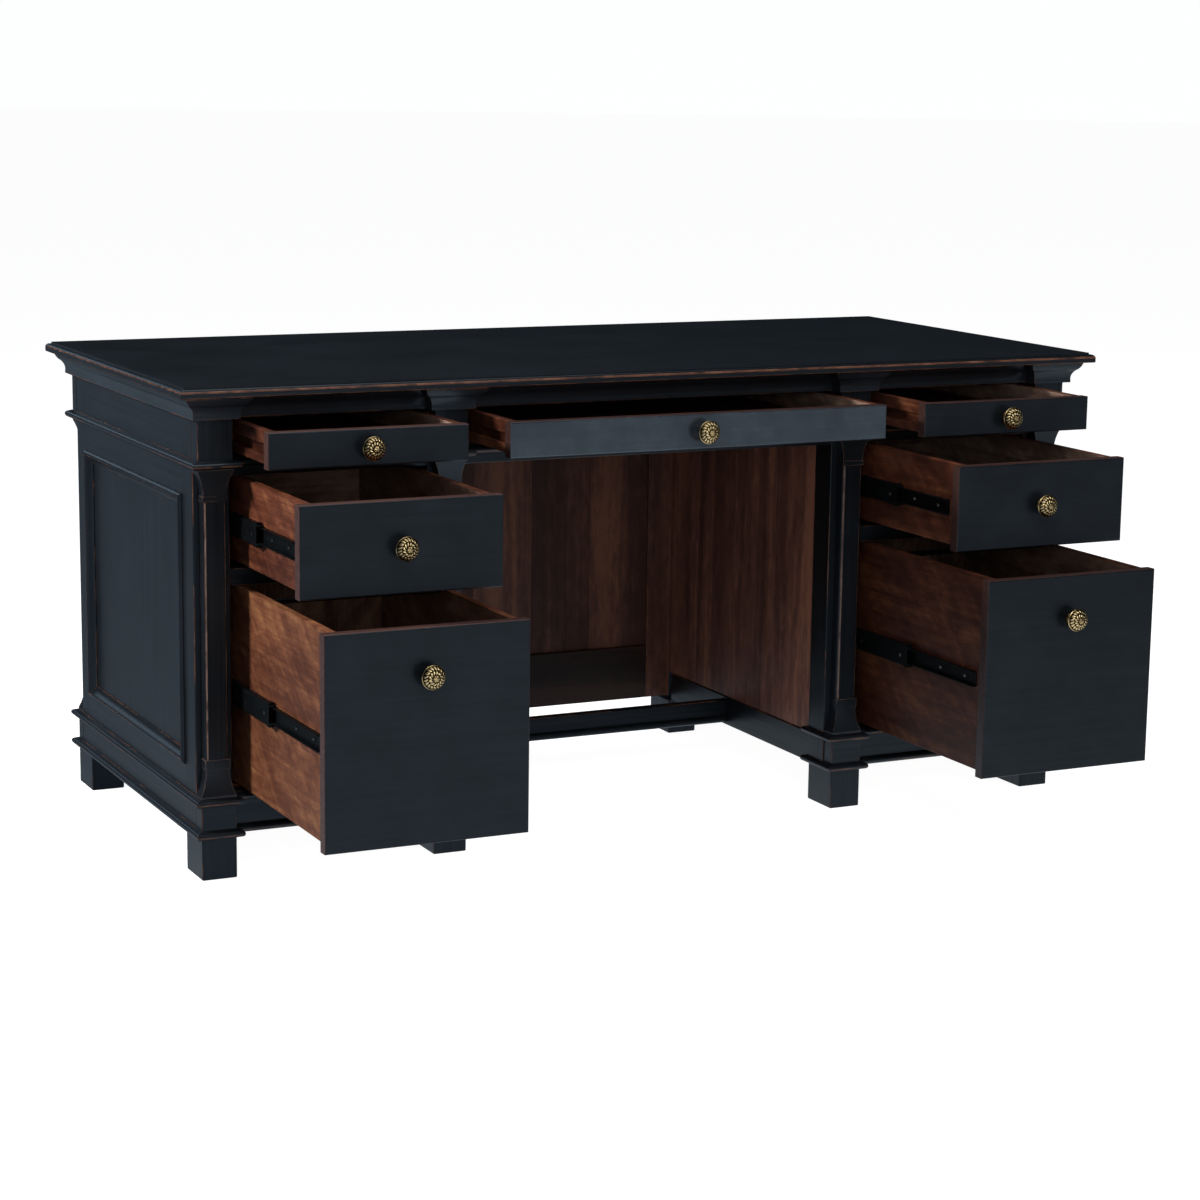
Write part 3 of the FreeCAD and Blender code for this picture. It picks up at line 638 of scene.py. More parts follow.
def moulding_paint(node, wear, noses=(), lift=1.0, worn=WORN_STOPS):
    """Paint of a moulding, glossier and without strokes of the brush."""
    return painted("paint_" + node, False, noses, wear, MOULDING_SHEEN, MOULDING_ROUGHNESS, lift,
                   brush=0.0, worn=worn)


# Drawer fronts
EDGE_STOPS = ((0.25, (0.013, 0.0062, 0.0052)), (0.75, (0.032, 0.0160, 0.0132)))
# Left fronts' wood edges lightened: painted light, as these edges face the key light
LEFT_EDGE_LIGHT_LIFT = 1.45
FRONT_SHEEN = 0.40
FRONT_ROUGHNESS = 0.36
FRONT_STREAKS = ((4.0, 150.0, 150.0), 4.0, 0.6)
FRONT_STREAK_SHARE = 0.2
FRONT_CLOUDS = (14.0, 5.0, 0.65)
FRONT_CLOUD_DULL = 0.12
FRONT_SPECKS = ((60.0, 420.0, 420.0), 3.0, 0.6)
FRONT_SPECK_SHARE = 0.25
FRONT_PAINT_SPAN = (0.72, 0.98)
FRONT_BRUSH = 0.25
FRONT_BUMP = 0.02 * MM
# Centre front: base colour lifted, a painted reflection standing in for the brighter sheen this front
# catches; its higher sheen and lower roughness are its own
CENTRE_REFLECTION_LIFT = 4.5
CENTRE_SHEEN = 1.0
CENTRE_ROUGHNESS = 0.22


def front_finish(name, lift=1.0, sheen=FRONT_SHEEN, roughness=FRONT_ROUGHNESS, edge=1.0):
    """Drawer front: black paint on its face, brown stained wood on its edges and back."""
    g = Graph(name)
    along = g.attribute("grain", "Vector")
    streaks = g.grained(along, *FRONT_STREAKS)
    clouds = g.noise(g.place(), *FRONT_CLOUDS)
    specks = g.math("MULTIPLY", g.grained(along, *FRONT_SPECKS), FRONT_SPECK_SHARE)
    ahead = g.math("ADD", g.math("MULTIPLY", g.facing(1), -1.0), specks)
    wood = g.ramp(streaks, lifted(EDGE_STOPS, edge))
    paint = g.ramp(g.blend(FRONT_STREAK_SHARE, streaks, clouds), lifted(PAINT_STOPS, lift))
    return g.shade(colour=g.mix(g.ranged(ahead, *FRONT_PAINT_SPAN), wood, paint), tint=PAINT_SHEEN_TINT,
                   roughness=clouded(g, roughness, clouds, FRONT_CLOUD_DULL),
                   specular=brushed(g, sheen, streaks, FRONT_BRUSH), normal=g.bump(streaks, FRONT_BUMP))


# Stained wood
STAIN_STOPS = ((0.05, (0.033, 0.0108, 0.0058)), (0.40, (0.055, 0.0196, 0.0098)),
               (0.65, (0.074, 0.0284, 0.0135)), (0.95, (0.110, 0.0486, 0.0214)))
RED_STOPS = ((0.05, (0.024, 0.0070, 0.0041)), (0.40, (0.046, 0.0140, 0.0074)),
             (0.65, (0.066, 0.0210, 0.0105)), (0.95, (0.108, 0.0400, 0.0180)))
PLANK_STOPS = ((0.05, (0.032, 0.0126, 0.0094)), (0.40, (0.056, 0.0224, 0.0158)),
               (0.65, (0.078, 0.0312, 0.0208)), (0.95, (0.126, 0.0510, 0.0305)))
INSIDE_STOPS = ((0.05, (0.055, 0.0340, 0.0250)), (0.50, (0.104, 0.0690, 0.0520)),
                (0.95, (0.172, 0.1210, 0.0930)))
STAIN_SPREAD = 0.35
STAIN_ROUGHNESS = 0.36
STAIN_STREAK_DULL = 0.2
STAIN_SHEEN = 0.25
FIGURE_RUN = 2.6
FIGURE_WIDTH = 12.0
FIGURE_LOOK = (5.0, 0.6, 0.5)
STREAK_RUN = 2.2
STREAK_WIDTH = 150.0
STREAK_LOOK = (5.0, 0.65)
STRIPE_SHARE = 0.22
CURL_TURN = math.radians(-40)
CURL = ((5.0, 30.0, 15.0), 5.0, 0.62, 1.1)
CURL_SHARE = 0.22
MOTTLE = ((26.0, 70.0, 70.0), 4.0, 0.65, 0.3)
MOTTLE_SHARE = 0.22
PORES = ((38.0, 900.0, 900.0), 2.0, 0.5)
PORE_STEP = (0.30, 0.46, 0.72, 1.0)
PORE_BUMP = 0.06 * MM
BODY_SPAN = (0.38, 0.63)
INNER_LIFT = 1.2
# Each drawer's wood: lift and a share of paler inside colours. The lifts are partly each drawer's own tone
# and partly painted shade, lowest on the right file, whose side stands in shade. The paler insides are
# partly a lighter inside finish and partly painted light on insides that sit in shade, fullest in the right
# box.
DRAWER_WOODS_AND_LIGHT = {"left_file": {"lift": 1.24, "stripe": 0.18, "curling": 0.26, "pale": 0.45},
                "left_box": {"stops": RED_STOPS, "lift": 0.92, "pale": 0.6},
                "right_file": {"stops": RED_STOPS, "lift": 0.75, "pale": 0.6},
                "right_box": {"stops": RED_STOPS, "lift": 1.0, "pale": 1.0}}
# Frieze drawers' sides darkened: painted shade for their half-shadow under the top
FRIEZE_SHADED_WOOD = {"stops": RED_STOPS, "lift": 0.62, "pale": 0.9}

# Planks: lift and spread of tone of each node, and tones of the frame by the axis a board runs along. The
# kneehole walls' high lift is partly lighter wood and partly painted light in the shaded kneehole; the
# frame's low lift and its tones, darkest on the rails along X, are painted shade.
PLANK_TONES_AND_LIGHT = {"kneehole_walls": (1.85, 0.8), "modesty_panel": (0.95, 0.4), "modesty_frame": (0.5, 1.3)}
FRAME_SHADE_TONES = {0: 0.0, 1: 0.5, 2: 1.0}
PLANK_STRIPE_SHARE = 0.13
PLANK_FIGURE_RUN = 0.7
PLANK_FIGURE_WIDTH = 11.0
PLANK_STREAK_WIDTH = 110.0


def stained(name, stops=STAIN_STOPS, lift=1.0, spread=STAIN_SPREAD, stripe=STRIPE_SHARE,
            curling=CURL_SHARE, pale=0.0, figure_run=FIGURE_RUN, figure_width=FIGURE_WIDTH,
            streak_width=STREAK_WIDTH):
    """Red-brown wood: clouded figure, slanting curl, streaks and pores, paler inside a drawer if asked,
    which is partly a lighter inside finish and partly painted light.
    """
    g = Graph(name)
    along = g.attribute("grain", "Vector")
    figure = g.grained(along, (figure_run, figure_width, figure_width), *FIGURE_LOOK)
    mottle = g.grained(along, *MOTTLE)
    slanted = g.node("ShaderNodeMapping", None, Vector=along, Rotation=(0.0, 0.0, CURL_TURN)).outputs[0]
    curl = g.grained(slanted, *CURL)
    streaks = g.grained(along, (STREAK_RUN, streak_width, streak_width), *STREAK_LOOK)
    pores = g.grained(along, *PORES)
    body = g.math("MULTIPLY", figure, 1.0 - MOTTLE_SHARE - stripe - curling)
    for pattern, share in ((streaks, stripe), (mottle, MOTTLE_SHARE), (curl, curling)):
        body = g.math("ADD", body, g.math("MULTIPLY", pattern, share))
    body = g.ranged(body, *BODY_SPAN)
    # Paler inside colours: partly a lighter finish, partly painted light on insides in shade
    paled = g.math("MULTIPLY", g.attribute("inner", "Fac"), pale)
    colour = g.mix(paled, g.ramp(body, lifted(stops, lift)), g.ramp(body, INSIDE_STOPS))
    tone = g.math("ADD", 1.0 - spread / 2, g.math("MULTIPLY", g.attribute("tone", "Fac"), spread))
    shade = g.math("MULTIPLY", tone, g.ranged(pores, *PORE_STEP))
    dull = g.math("ADD", g.math("MULTIPLY", streaks, STAIN_STREAK_DULL), STAIN_ROUGHNESS)
    return g.shade(colour=g.vector_math("SCALE", 0, i0=colour, Scale=shade), roughness=dull,
                   specular=STAIN_SHEEN, normal=g.bump(pores, PORE_BUMP))


def planked(node):
    """Dark planks with long broad streaks."""
    lift, spread = PLANK_TONES_AND_LIGHT[node]
    return stained("stained_" + node, PLANK_STOPS, lift, spread, PLANK_STRIPE_SHARE, 0.0,
                   figure_run=PLANK_FIGURE_RUN, figure_width=PLANK_FIGURE_WIDTH,
                   streak_width=PLANK_STREAK_WIDTH)


# Metals
BRASS_STOPS = ((0.15, (0.012, 0.007, 0.004)), (0.5, (0.29, 0.19, 0.077)), (0.9, (0.95, 0.74, 0.38)))
BRASS_STAINS = (220.0, 3.0, 0.6)
BRASS_STAIN_SHARE = 0.35
BRASS_DULL_STEP = (0.1, 0.9, 0.5, 0.30)
STEEL_STOPS = ((0.35, (0.0010, 0.0012, 0.0014)), (0.65, (0.0030, 0.0035, 0.0040)))
STEEL_MOTTLE = (90.0, 4.0, 0.6)
STEEL_MOTTLE_SHARE = 0.5
STEEL_SCUFFS = ((300.0, 12.0, 300.0), 3.0, 0.6)
STEEL_DULL_STEP = (0.3, 0.7, 0.36, 0.54)
STEEL_SHEEN = 0.09
ZINC_STOPS = ((0.3, (0.10, 0.095, 0.080)), (0.7, (0.34, 0.32, 0.27)))
ZINC_TARNISH = (500.0, 3.0, 0.6)
ZINC_DULL_STEP = (0.3, 0.7, 0.55, 0.40)


def brass():
    """Aged brass, bright on the raised parts and dark in the recesses."""
    g = Graph("antique_brass")
    stains = g.math("SUBTRACT", g.noise(g.place(), *BRASS_STAINS), 0.5)
    clean = g.math("ADD", g.attribute("relief", "Fac"), g.math("MULTIPLY", stains, BRASS_STAIN_SHARE))
    return g.shade(colour=g.ramp(clean, BRASS_STOPS), roughness=g.ranged(clean, *BRASS_DULL_STEP),
                   metallic=1.0)


def dark_steel():
    """Blackened steel of the slides, slightly mottled and scuffed."""
    g = Graph("slide_steel")
    mottle = g.noise(g.place(), *STEEL_MOTTLE)
    tint = g.blend(STEEL_MOTTLE_SHARE, mottle, g.grained(g.place(), *STEEL_SCUFFS))
    return g.shade(colour=g.ramp(tint, STEEL_STOPS), roughness=g.ranged(tint, *STEEL_DULL_STEP),
                   specular=STEEL_SHEEN)


def bright_steel():
    """Zinc-plated screws with a little tarnish."""
    g = Graph("screw_steel")
    tarnish = g.noise(g.place(), *ZINC_TARNISH)
    return g.shade(colour=g.ramp(tarnish, ZINC_STOPS), roughness=g.ranged(tarnish, *ZINC_DULL_STEP),
                   metallic=1.0)


# Turned and drilled pieces
def turned(name, rings, around, material, height_of):
    """Closed turned form about -Y: rings of (radius, out), pinched to a point at both ends."""
    solid = bmesh.new()
    relief = solid.verts.layers.float.new("relief")
    rows = []
    for radius, out in rings:
        row = []
        for step in range(around if radius > 0 else 1):
            angle = 2 * math.pi * step / around
            rise, clean = height_of(radius, angle, out)
            spot = solid.verts.new((radius * math.cos(angle), -out - rise, radius * math.sin(angle)))
            spot[relief] = clean
            row.append(spot)
        rows.append(row)
    for near, far in zip(rows, rows[1:]):
        for step in range(around):
            corners = [near[step % len(near)], near[(step + 1) % len(near)],
                       far[(step + 1) % len(far)], far[step % len(far)]]
            solid.faces.new(list(dict.fromkeys(corners)))
    bmesh.ops.recalc_face_normals(solid, faces=solid.faces[:])
    return added(name, solid, [material])


def dome_out(radius):
    """How far the plain dome of a knob stands out at a radius."""
    rise = KNOB_TOP - KNOB_BOSS_RISE - KNOB_RIM
    ball = (KNOB_RADIUS ** 2 + rise ** 2) / (2 * rise)
    return KNOB_RIM + math.sqrt(ball ** 2 - radius ** 2) - (ball - rise)


def knob_rings():
    """Rings of a knob from the middle of its head round to its seat on the drawer."""
    rings = [(0.0, dome_out(0.0))]
    for step in range(1, KNOB_RINGS + 1):
        radius = (KNOB_RADIUS - KNOB_RIM_ROUND) * step / KNOB_RINGS
        rings.append((radius, dome_out(radius)))
    for step in range(1, KNOB_RIM_STEPS + 1):
        turn = math.pi * step / KNOB_RIM_STEPS
        rings.append((KNOB_RADIUS - KNOB_RIM_ROUND + KNOB_RIM_ROUND * math.sin(turn),
                      KNOB_RIM - KNOB_RIM_ROUND * (1 - math.cos(turn)) / 2))
    under = KNOB_RADIUS - 2 * KNOB_RIM_ROUND
    for step in range(1, KNOB_UNDER_STEPS + 1):
        share = step / KNOB_UNDER_STEPS
        bow = (1 - math.cos(math.pi * share)) / 2
        rings.append((under + (KNOB_WAIST_RADIUS - under) * share ** KNOB_UNDER_POWER,
                      KNOB_RIM - KNOB_RIM_ROUND + (KNOB_WAIST - KNOB_RIM + KNOB_RIM_ROUND) * bow))
    for step in range(1, KNOB_SEAT_STEPS + 1):
        share = step / KNOB_SEAT_STEPS
        rings.append((KNOB_WAIST_RADIUS + (KNOB_SEAT_RADIUS - KNOB_WAIST_RADIUS) * share ** KNOB_SEAT_POWER,
                      KNOB_WAIST + (KNOB_SEAT - KNOB_WAIST) * share))
    rings.append((KNOB_SEAT_RADIUS, 0.0))
    rings.append((0.0, 0.0))
    return rings


def knob_relief(radius, angle, out):
    """Rise of the embossed head and how clean the brass is there."""
    share = radius / KNOB_RADIUS
    if out < KNOB_RIM - KNOB_RIM_ROUND:
        return 0.0, KNOB_UNDER_CLEAN
    if out < KNOB_RIM:
        return 0.0, KNOB_RIM_CLEAN
    if share < KNOB_BOSS_SHARE:
        crown = math.sqrt(max(0.0, 1 - (share / KNOB_BOSS_SHARE) ** 2))
        lobe = 1 - KNOB_LOBE_SHARE * share / KNOB_BOSS_SHARE * (1 - math.cos(KNOB_LOBES * angle)) / 2
        return KNOB_BOSS_RISE * crown * lobe, KNOB_BOSS_CLEAN + KNOB_LOBE_CLEAN * lobe
    if share < KNOB_PETAL_START_SHARE:
        return -KNOB_GROOVE, 0.0
    if share > KNOB_PETAL_END_SHARE:
        return 0.0, 1.0
    span = (share - KNOB_PETAL_START_SHARE) / (KNOB_PETAL_END_SHARE - KNOB_PETAL_START_SHARE)
    if span < KNOB_LEAF_SHARE:
        count, place, swirl = KNOB_LEAVES, span / KNOB_LEAF_SHARE, KNOB_SWIRL
    else:
        count, place, swirl = KNOB_GADROONS, (span - KNOB_LEAF_SHARE) / (1 - KNOB_LEAF_SHARE), -KNOB_SWIRL
    petal = abs(math.cos(count * angle / 2 + swirl * place)) ** KNOB_PETAL_POWER
    along = KNOB_END_SHARE + (1 - 2 * KNOB_END_SHARE) * place
    height = petal * math.sin(math.pi * along) ** KNOB_END_POWER
    clean = KNOB_PETAL_CLEAN * height + KNOB_GROOVE_CLEAN
    return KNOB_PETAL_RISE * (height - KNOB_PETAL_SINK_SHARE), min(1.0, max(0.0, clean))


def knobs(metal):
    """Embossed knobs on the drawer fronts."""
    for drawer in DRAWERS:
        node = drawer + "_knob"
        low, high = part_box(node)
        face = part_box(drawer + "_front")[0].y
        piece = turned(node + ".turned", knob_rings(), KNOB_AROUND, metal, knob_relief)
        piece.location = ((low.x + high.x) / 2, face, (low.z + high.z) / 2)
        stand_for(node, piece)


def knob_screws(metal):
    """Screw heads inside the drawer fronts, which hold the knobs."""
    for drawer in DRAWERS:
        low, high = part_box(drawer + "_knob")
        inner_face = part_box(drawer + "_front")[1].y
        place = ((low.x + high.x) / 2, inner_face, (low.z + high.z) / 2)
        piece = screw(drawer + "_knob_screw", place, math.pi, metal)
        piece.scale = (KNOB_SCREW_SCALE,) * 3
        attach(piece, drawer + "_drawer")


def screw(name, place, turn, metal):
    """Pan-head screw, facing forward and then turned about the upright."""
    rings = [(0.0, SCREW_RISE)]
    for step in range(1, SCREW_STEPS + 1):
        slope = math.pi / 2 * step / SCREW_STEPS
        rings.append((SCREW_RADIUS * math.sin(slope), SCREW_RISE * math.cos(slope)))
    rings.append((SCREW_RADIUS, -SCREW_SKIRT))
    rings.append((0.0, -SCREW_SKIRT))
    piece = turned(name, rings, SCREW_AROUND, metal, cross_recess)
    piece.rotation_euler.z = turn
    piece.location = place
    return piece


def cross_recess(radius, angle, out):
    """Cross-shaped recess in a screw's head."""
    in_arm = min(abs(math.sin(angle)), abs(math.cos(angle))) * radius < RECESS_ARM_SHARE * SCREW_RADIUS
    if radius < RECESS_SHARE * SCREW_RADIUS and in_arm and out > 0:
        return -RECESS_DEPTH_SHARE * SCREW_RISE, RECESS_CLEAN
    return 0.0, PLAIN_CLEAN


def obround(solid, x, y, z, half_depth):
    """Adds an upright slot-shaped cutter across the X axis to a bmesh."""
    loops = []
    for side in (-1, 1):
        loop = []
        for step in range(SLOT_AROUND):
            angle = 2 * math.pi * step / SLOT_AROUND
            lift = math.copysign((SLOT_LONG - SLOT_WIDE) / 2, math.sin(angle + SLOT_NUDGE))
            loop.append(solid.verts.new((x + side * half_depth, y + SLOT_WIDE / 2 * math.cos(angle),
                                         z + lift + SLOT_WIDE / 2 * math.sin(angle))))
        loops.append(loop)
    solid.faces.new(loops[0])
    solid.faces.new(loops[1])
    for step in range(SLOT_AROUND):
        after = (step + 1) % SLOT_AROUND
        solid.faces.new((loops[0][step], loops[0][after], loops[1][after], loops[1][step]))


def pierce(piece, slots):
    """Cuts upright slots through a piece's webs."""
    solid = bmesh.new()
    for x, y, z in slots:
        obround(solid, x, y, z, 2 * WEB)
    bmesh.ops.recalc_face_normals(solid, faces=solid.faces[:])
    cutter = added("cutter", solid, [], False)
    cut = piece.modifiers.new("slots", "BOOLEAN")
    cut.operation = "DIFFERENCE"
    cut.solver = "EXACT"
    cut.object = cutter
    graph = bpy.context.evaluated_depsgraph_get()
    mesh = bpy.data.meshes.new_from_object(piece.evaluated_get(graph))
    piece.modifiers.remove(cut)
    piece.data = mesh
    bpy.data.objects.remove(cutter)


def slide_webs(node):
    """X span, front end and middle height of a slide node's two uprights, by whether on the low side."""
    webs = {}
    for faces in shells(node):
        points = [corner for corners in faces for corner in corners]
        x_values = [point[0] for point in points]
        y_values = [point[1] for point in points]
        z_values = [point[2] for point in points]
        height = max(z_values) - min(z_values)
        side = min(x_values) < sum(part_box(node)[end].x for end in (0, 1)) / 2
        if height > WEB_LEAST_HEIGHT:
            webs[side] = (min(x_values), max(x_values), min(y_values), (min(z_values) + max(z_values)) / 2)
    return webs


def collar(name, web, inward, front, z, material):
    """Moulded cap on the front end of an intermediate member, open toward the drawer, with tongues ahead."""
    outline = ((-COLLAR_SKIN, COLLAR_HALF), (COLLAR_DEPTH, COLLAR_HALF), (COLLAR_DEPTH, COLLAR_MOUTH_HALF),
               (0.0, COLLAR_MOUTH_HALF))
    outline += tuple((out, -rise) for out, rise in reversed(outline))
    tongue = ((0.0, TONGUE_HALF), (COLLAR_DEPTH - WEB, TONGUE_HALF), (COLLAR_DEPTH - WEB, COLLAR_MOUTH_HALF),
              (0.0, COLLAR_MOUTH_HALF))
    low_tongue = tuple((out, -rise) for out, rise in reversed(tongue))
    solid = bmesh.new()
    start = front - COLLAR_FRONT
    for shape, near, far in ((outline, start, start + COLLAR_LENGTH),
                             (tongue, start - TONGUE_LENGTH, start + WEB),
                             (low_tongue, start - TONGUE_LENGTH, start + WEB)):
        extrude(solid, [(web + inward * out, z + rise) for out, rise in shape], near, far)
    bmesh.ops.recalc_face_normals(solid, faces=solid.faces[:])
    bmesh.ops.bevel(solid, geom=solid.edges[:], offset=COLLAR_SKIN / 2, segments=1,
                    profile=EASE_PROFILE_SHARE, affect="EDGES", clamp_overlap=True)
    return added(name, solid, [material], False)


def extrude(solid, outline, near, far):
    """Adds a bar to a bmesh: an outline of (x, z) drawn out along Y."""
    ends = [[solid.verts.new((x, y, z)) for x, z in outline] for y in (near, far)]
    for end in ends:
        solid.faces.new(end)
    count = len(outline)
    for step in range(count):
        after = (step + 1) % count
        solid.faces.new((ends[0][step], ends[0][after], ends[1][after], ends[1][step]))


def drawer_members(drawer, steel, zinc):
    """Slide members on a drawer's sides, with slots and screws."""
    node = drawer + "_slides"
    piece = added(node + ".channels", eased(node, STEEL_EASE, 1), [steel])
    slots, screws = [], []
    for low_side, (x0, x1, y0, z) in slide_webs(node).items():
        web = x1 - WEB / 2 if low_side else x0 + WEB / 2
        outward = -1 if low_side else 1
        for count, place in enumerate(DRAWER_MEMBER_PLACES):
            slots.append((web, y0 + place, z))
            name = f"{drawer}_slide_screw_{'low' if low_side else 'high'}_{count}"
            spot = (web + outward * WEB / 2, y0 + place + FIXING_GAP, z - FIXING_DROP)
            screws.append(screw(name, spot, outward * math.pi / 2, zinc))
    pierce(piece, slots)
    weigh_normals(piece)
    stand_for(node, piece)
    for part in screws:
        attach(part, drawer + "_drawer")


def mid_slides(drawer, steel, zinc):
    """Intermediate slide members, with slots, rivets and a collar at the front end."""
    node = drawer + "_slide_mids"
    piece = added(node + ".channels", eased(node, STEEL_EASE, 1), [steel])
    slots, extras = [], []
    for low_side, (x0, x1, y0, z) in slide_webs(node).items():
        web = x0 + WEB / 2 if low_side else x1 - WEB / 2
        outward = -1 if low_side else 1
        for count, place in enumerate(MID_MEMBER_PLACES):
            slots.append((web, y0 + place + FIXING_GAP, z))
            name = f"{drawer}_mid_rivet_{'low' if low_side else 'high'}_{count}"
            spot = (web + outward * WEB / 2, y0 + place, z - FIXING_DROP)
            rivet = screw(name, spot, outward * math.pi / 2, zinc)
            rivet.scale.y = RIVET_FLAT
            extras.append(rivet)
        name = f"{drawer}_mid_collar_{'low' if low_side else 'high'}"
        extras.append(collar(name, web + outward * WEB / 2, -outward, y0, z, steel))
    pierce(piece, slots)
    weigh_normals(piece)
    stand_for(node, piece)
    for part in extras:
        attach(part, drawer + "_slide_mids")


# Surroundings
def floor_finish(name, shade, glow):
    """Plain pale floor, faintly uneven, with a glow of its own."""
    g = Graph(name)
    speck = g.noise(g.place(), *FLOOR_SPECKS)
    darker = tuple(FLOOR_DARK_SHARE * value for value in shade)
    g.shade(colour=g.ramp(speck, ((0.0, darker), (1.0, shade))), roughness=FLOOR_ROUGHNESS, specular=0.0)
    g.shader.inputs["Emission Color"].default_value = (1.0, 1.0, 1.0, 1.0)
    g.shader.inputs["Emission Strength"].default_value = glow
    return g


def floor_disc(name, level, finish, wall=0.0):
    """Wide disc of floor, with its rim turned up to a wall if a height is given."""
    solid = bmesh.new()
    bmesh.ops.create_circle(solid, cap_ends=True, segments=FLOOR_AROUND, radius=FLOOR_RADIUS)
    if wall:
        edges = [edge for edge in solid.edges if edge.is_boundary]
        raised = bmesh.ops.extrude_edge_only(solid, edges=edges)["geom"]
        for vertex in raised:
            if isinstance(vertex, bmesh.types.BMVert):
                vertex.co.z += wall
    piece = added(name, solid, [finish.material], False)
    piece.location.z = level
    return piece


def floor():
    """Pale floor: a bright sheet that is seen, over a softer one that lights the desk from below."""
    seen = floor_disc("floor", 0.0, floor_finish("floor_seen", FLOOR_SHADE, FLOOR_GLOW), WALL_HEIGHT)
    seen.visible_glossy = False
    seen.visible_diffuse = False
    g = floor_finish("floor_bounce", BOUNCE_SHADE, BOUNCE_BACK)
    bounce = floor_disc("floor_bounce", -FLOOR_GAP, g)
    bounce.visible_camera = False
    ahead = g.node("ShaderNodeVectorMath", {"operation": "DOT_PRODUCT"}, i0=g.place(), i1=BOUNCE_AHEAD)
    away = g.node("ShaderNodeVectorMath", {"operation": "LENGTH"}, i0=g.place()).outputs["Value"]
    behind = g.ranged(away, BOUNCE_NEAR, BOUNCE_FAR, BOUNCE_BACK, BOUNCE_BACK_FAR)
    aside = g.node("ShaderNodeSeparateXYZ", None, i0=g.place()).outputs[0]
    before = g.math("MULTIPLY", BOUNCE_FRONT, g.ranged(aside, *BOUNCE_SIDE, 1.0, BOUNCE_SIDE_SHARE))
    before = g.math("MULTIPLY", before, g.ranged(away, *BOUNCE_DIM, 1.0, BOUNCE_DIM_SHARE))
    glow = g.ranged(ahead.outputs["Value"], *BOUNCE_EDGE, behind, before)
    g.feed(g.shader, "Emission Strength", glow)
    forward = g.ranged(ahead.outputs["Value"], *BOUNCE_EDGE)
    g.feed(g.shader, "Emission Color", g.mix(forward, BOUNCE_BACK_COLOUR, BOUNCE_FRONT_COLOUR))


def world():
    """Dim, bluish surroundings above the floor."""
    made = bpy.data.worlds.new("studio")
    made.use_nodes = True
    made.node_tree.nodes["Background"].inputs["Color"].default_value = WORLD_COLOUR
    made.node_tree.nodes["Background"].inputs["Strength"].default_value = WORLD_GLOW
    bpy.context.scene.world = made


def softbox(name, place, aim, size, power):
    """Oblong area light turned toward a point."""
    light = bpy.data.lights.new(name, "AREA")
    light.shape = "RECTANGLE"
    light.size, light.size_y = size
    light.energy = power
    lamp = bpy.data.objects.new(name, light)
    lamp.location = place
    lamp.rotation_euler = (Vector(aim) - Vector(place)).to_track_quat("-Z", "Y").to_euler()
    bpy.context.scene.collection.objects.link(lamp)
    return lamp


def lights():
    """Soft boxes, a card behind that only shines on gloss, and a key and fills that gloss doesn't mirror."""
    for settings in SOFTBOXES:
        softbox(*settings)
    rim = softbox(*RIM_CARD)
    rim.data.color = BOUNCE_BACK_COLOUR[:3]
    rim.visible_diffuse = False
    rim.visible_camera = False
    for settings in FILLS:
        softbox(*settings).visible_glossy = False


def camera():
    """Camera at the photograph's place, turn and lens."""
    flat = math.cos(CAMERA_PITCH)
    forward = Vector((math.sin(CAMERA_YAW) * flat, math.cos(CAMERA_YAW) * flat, -math.sin(CAMERA_PITCH)))
    level = Vector((math.cos(CAMERA_YAW), -math.sin(CAMERA_YAW), 0.0))
    down = forward.cross(level)
    right = math.cos(CAMERA_ROLL) * level + math.sin(CAMERA_ROLL) * down
    below = -math.sin(CAMERA_ROLL) * level + math.cos(CAMERA_ROLL) * down
    data = bpy.data.cameras.new("camera")
    data.sensor_width = SENSOR
    data.lens = CAMERA_LENS
    eye = bpy.data.objects.new("camera", data)
    turn = Matrix((right, -below, -forward)).transposed().to_4x4()
    eye.matrix_world = Matrix.Translation(CAMERA_PLACE) @ turn
    bpy.context.scene.collection.objects.link(eye)
    bpy.context.scene.camera = eye


def finish_node(node, material):
    """Gives a node that keeps its own shape a finish."""
    mesh = frame["nodes"][node].data
    mesh.materials.clear()
    mesh.materials.append(material)


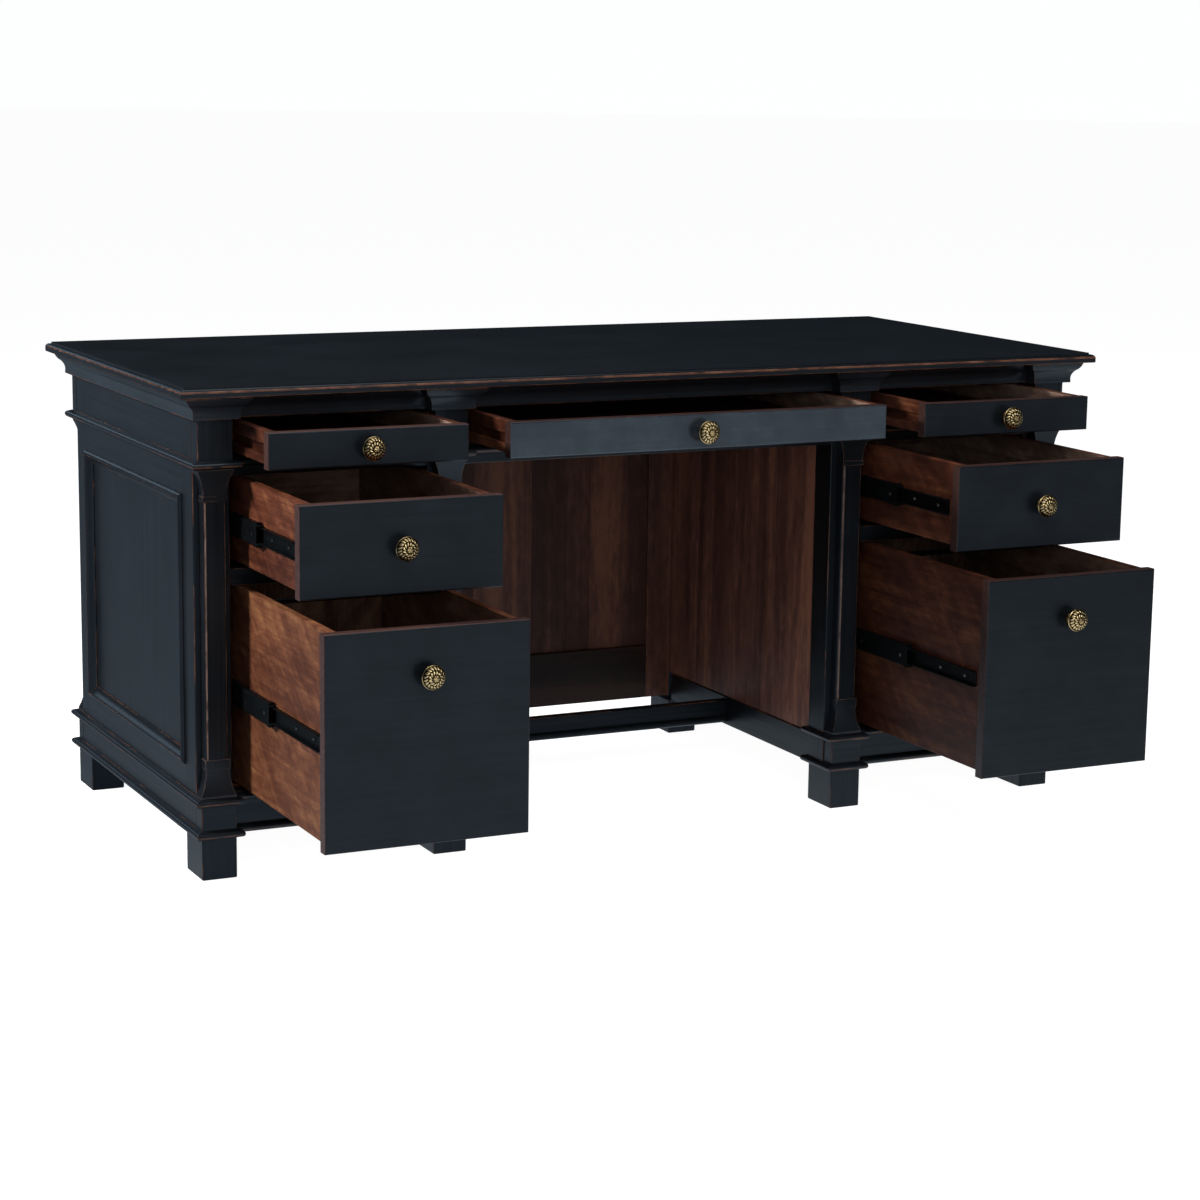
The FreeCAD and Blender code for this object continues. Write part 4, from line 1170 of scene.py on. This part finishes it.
def carcase_pieces():
    """Boards, mouldings and planks of everything that stays still, save the slides' cabinet members."""
    still = [node for node, piece in frame["nodes"].items() if body_of(piece) == ["carcase"]]
    boxes = spans(still)
    board_paint = painted("paint_boards")
    for node in ("frieze_blocks", "rear_frieze", "plinth_blocks", "plinth_boards", "posts", "end_rails",
                 "drawer_rails", "back_panels"):
        finish = painted("paint_end_rails", sheen=END_RAIL_SHEEN) if node == "end_rails" else board_paint
        boards(node, finish, "black_paint", BOARD_EASE, None, boxes)
    boards("end_panels", board_paint, "black_paint", BOARD_EASE, 2, boxes)
    others = spans(node for node in still if node != "pilaster_shafts")
    # The shafts' paler wear is partly a painted highlight
    shaft_paint = painted("paint_shafts", wear=SHAFT_WEAR, worn=WORN_AND_HIGHLIGHT_STOPS)
    boards("pilaster_shafts", shaft_paint, "black_paint", SHAFT_EASE, 2, others, worn=True)
    stretcher_paint = painted("paint_stretcher", sheen=STRETCHER_SHEEN)
    boards("stretcher", stretcher_paint, "black_paint", BOARD_EASE, 0, boxes)
    boards("feet", board_paint, "black_paint", FOOT_EASE, 2, boxes, square=True)
    noses = {"cornice": NOSES_CORNICE, "waist_moulding": NOSES_WAIST,
             "upper_base_moulding": NOSES_UPPER_BASE, "lower_base_moulding": NOSES_LOWER_BASE,
             "end_panel_mouldings": ()}
    for node, heights in noses.items():
        # The cornice's lift is painted light for its place in the shade under the top
        lift = CORNICE_PAINTED_LIGHT_LIFT if node == "cornice" else 1.0
        finish_node(node, moulding_paint(node, MOULDING_WEAR, heights, lift))
    # Capitals and bases take the same paler wear, partly a painted highlight
    for node in ("pilaster_capitals", "pilaster_bases"):
        finish_node(node, moulding_paint(node, PILASTER_WEAR, worn=WORN_AND_HIGHLIGHT_STOPS))
    # The top's darker paint is painted shade
    top_paint = painted("paint_desk_top", False, NOSES_TOP, TOP_WEAR, TOP_SHEEN, lift=TOP_PAINTED_SHADE_LIFT,
                        corners=False)
    finish_node("desk_top", top_paint)
    # Kneehole walls lighter: partly lighter wood, partly painted light in the shaded kneehole
    for node in ("kneehole_walls", "modesty_panel"):
        boards(node, planked(node), "stained_wood", PLANK_EASE, 2)
    # The frame's rails darker than its stiles: painted shade
    boards("modesty_frame", planked("modesty_frame"), "stained_wood", PLANK_EASE, tones=FRAME_SHADE_TONES)
    inner_wood = stained("plain_wood", lift=INNER_LIFT)
    for node in ("pedestal_floors", "frieze_linings", "frieze_runners", "stop_battens", "slide_packers"):
        boards(node, inner_wood, "plain_wood", PLANK_EASE)


def drawer_pieces():
    """Boxes, fronts and knobs of the drawers, and all the members of their slides."""
    woods = {drawer: stained("stained_" + drawer, **look) for drawer, look in DRAWER_WOODS_AND_LIGHT.items()}
    frieze_wood_in_shade = stained("stained_frieze_shaded", **FRIEZE_SHADED_WOOD)
    plain_front = front_finish("paint_fronts")
    # Left fronts get lighter wood edges, painted light on edges that face the light
    left_lit_edge_front = front_finish("paint_left_fronts_lit_edges", edge=LEFT_EDGE_LIGHT_LIFT)
    fronts = {drawer: left_lit_edge_front for drawer in DRAWERS if drawer.startswith("left")}
    # The centre front's lighter base colour is a painted reflection
    fronts["centre_frieze"] = front_finish("paint_centre_front", CENTRE_REFLECTION_LIFT, CENTRE_SHEEN, CENTRE_ROUGHNESS)
    steel = dark_steel()
    zinc = bright_steel()
    for drawer in DRAWERS:
        boards(drawer + "_box", woods.get(drawer, frieze_wood_in_shade), "stained_wood", BOX_EASE)
        boards(drawer + "_front", fronts.get(drawer, plain_front), "black_paint", FRONT_EASE, 0)
    for drawer in SLIDE_DRAWERS:
        drawer_members(drawer, steel, zinc)
        mid_slides(drawer, steel, zinc)
    for side in PEDESTALS:
        boards(side + "_file_bar", steel, "slide_steel", STEEL_EASE)
    boards("cabinet_slides", steel, "slide_steel", STEEL_EASE, 1)
    knobs(brass())
    knob_screws(zinc)


carcase_pieces()
drawer_pieces()
floor()
world()
lights()
camera()
bpy.context.scene.view_settings.view_transform = "Standard"
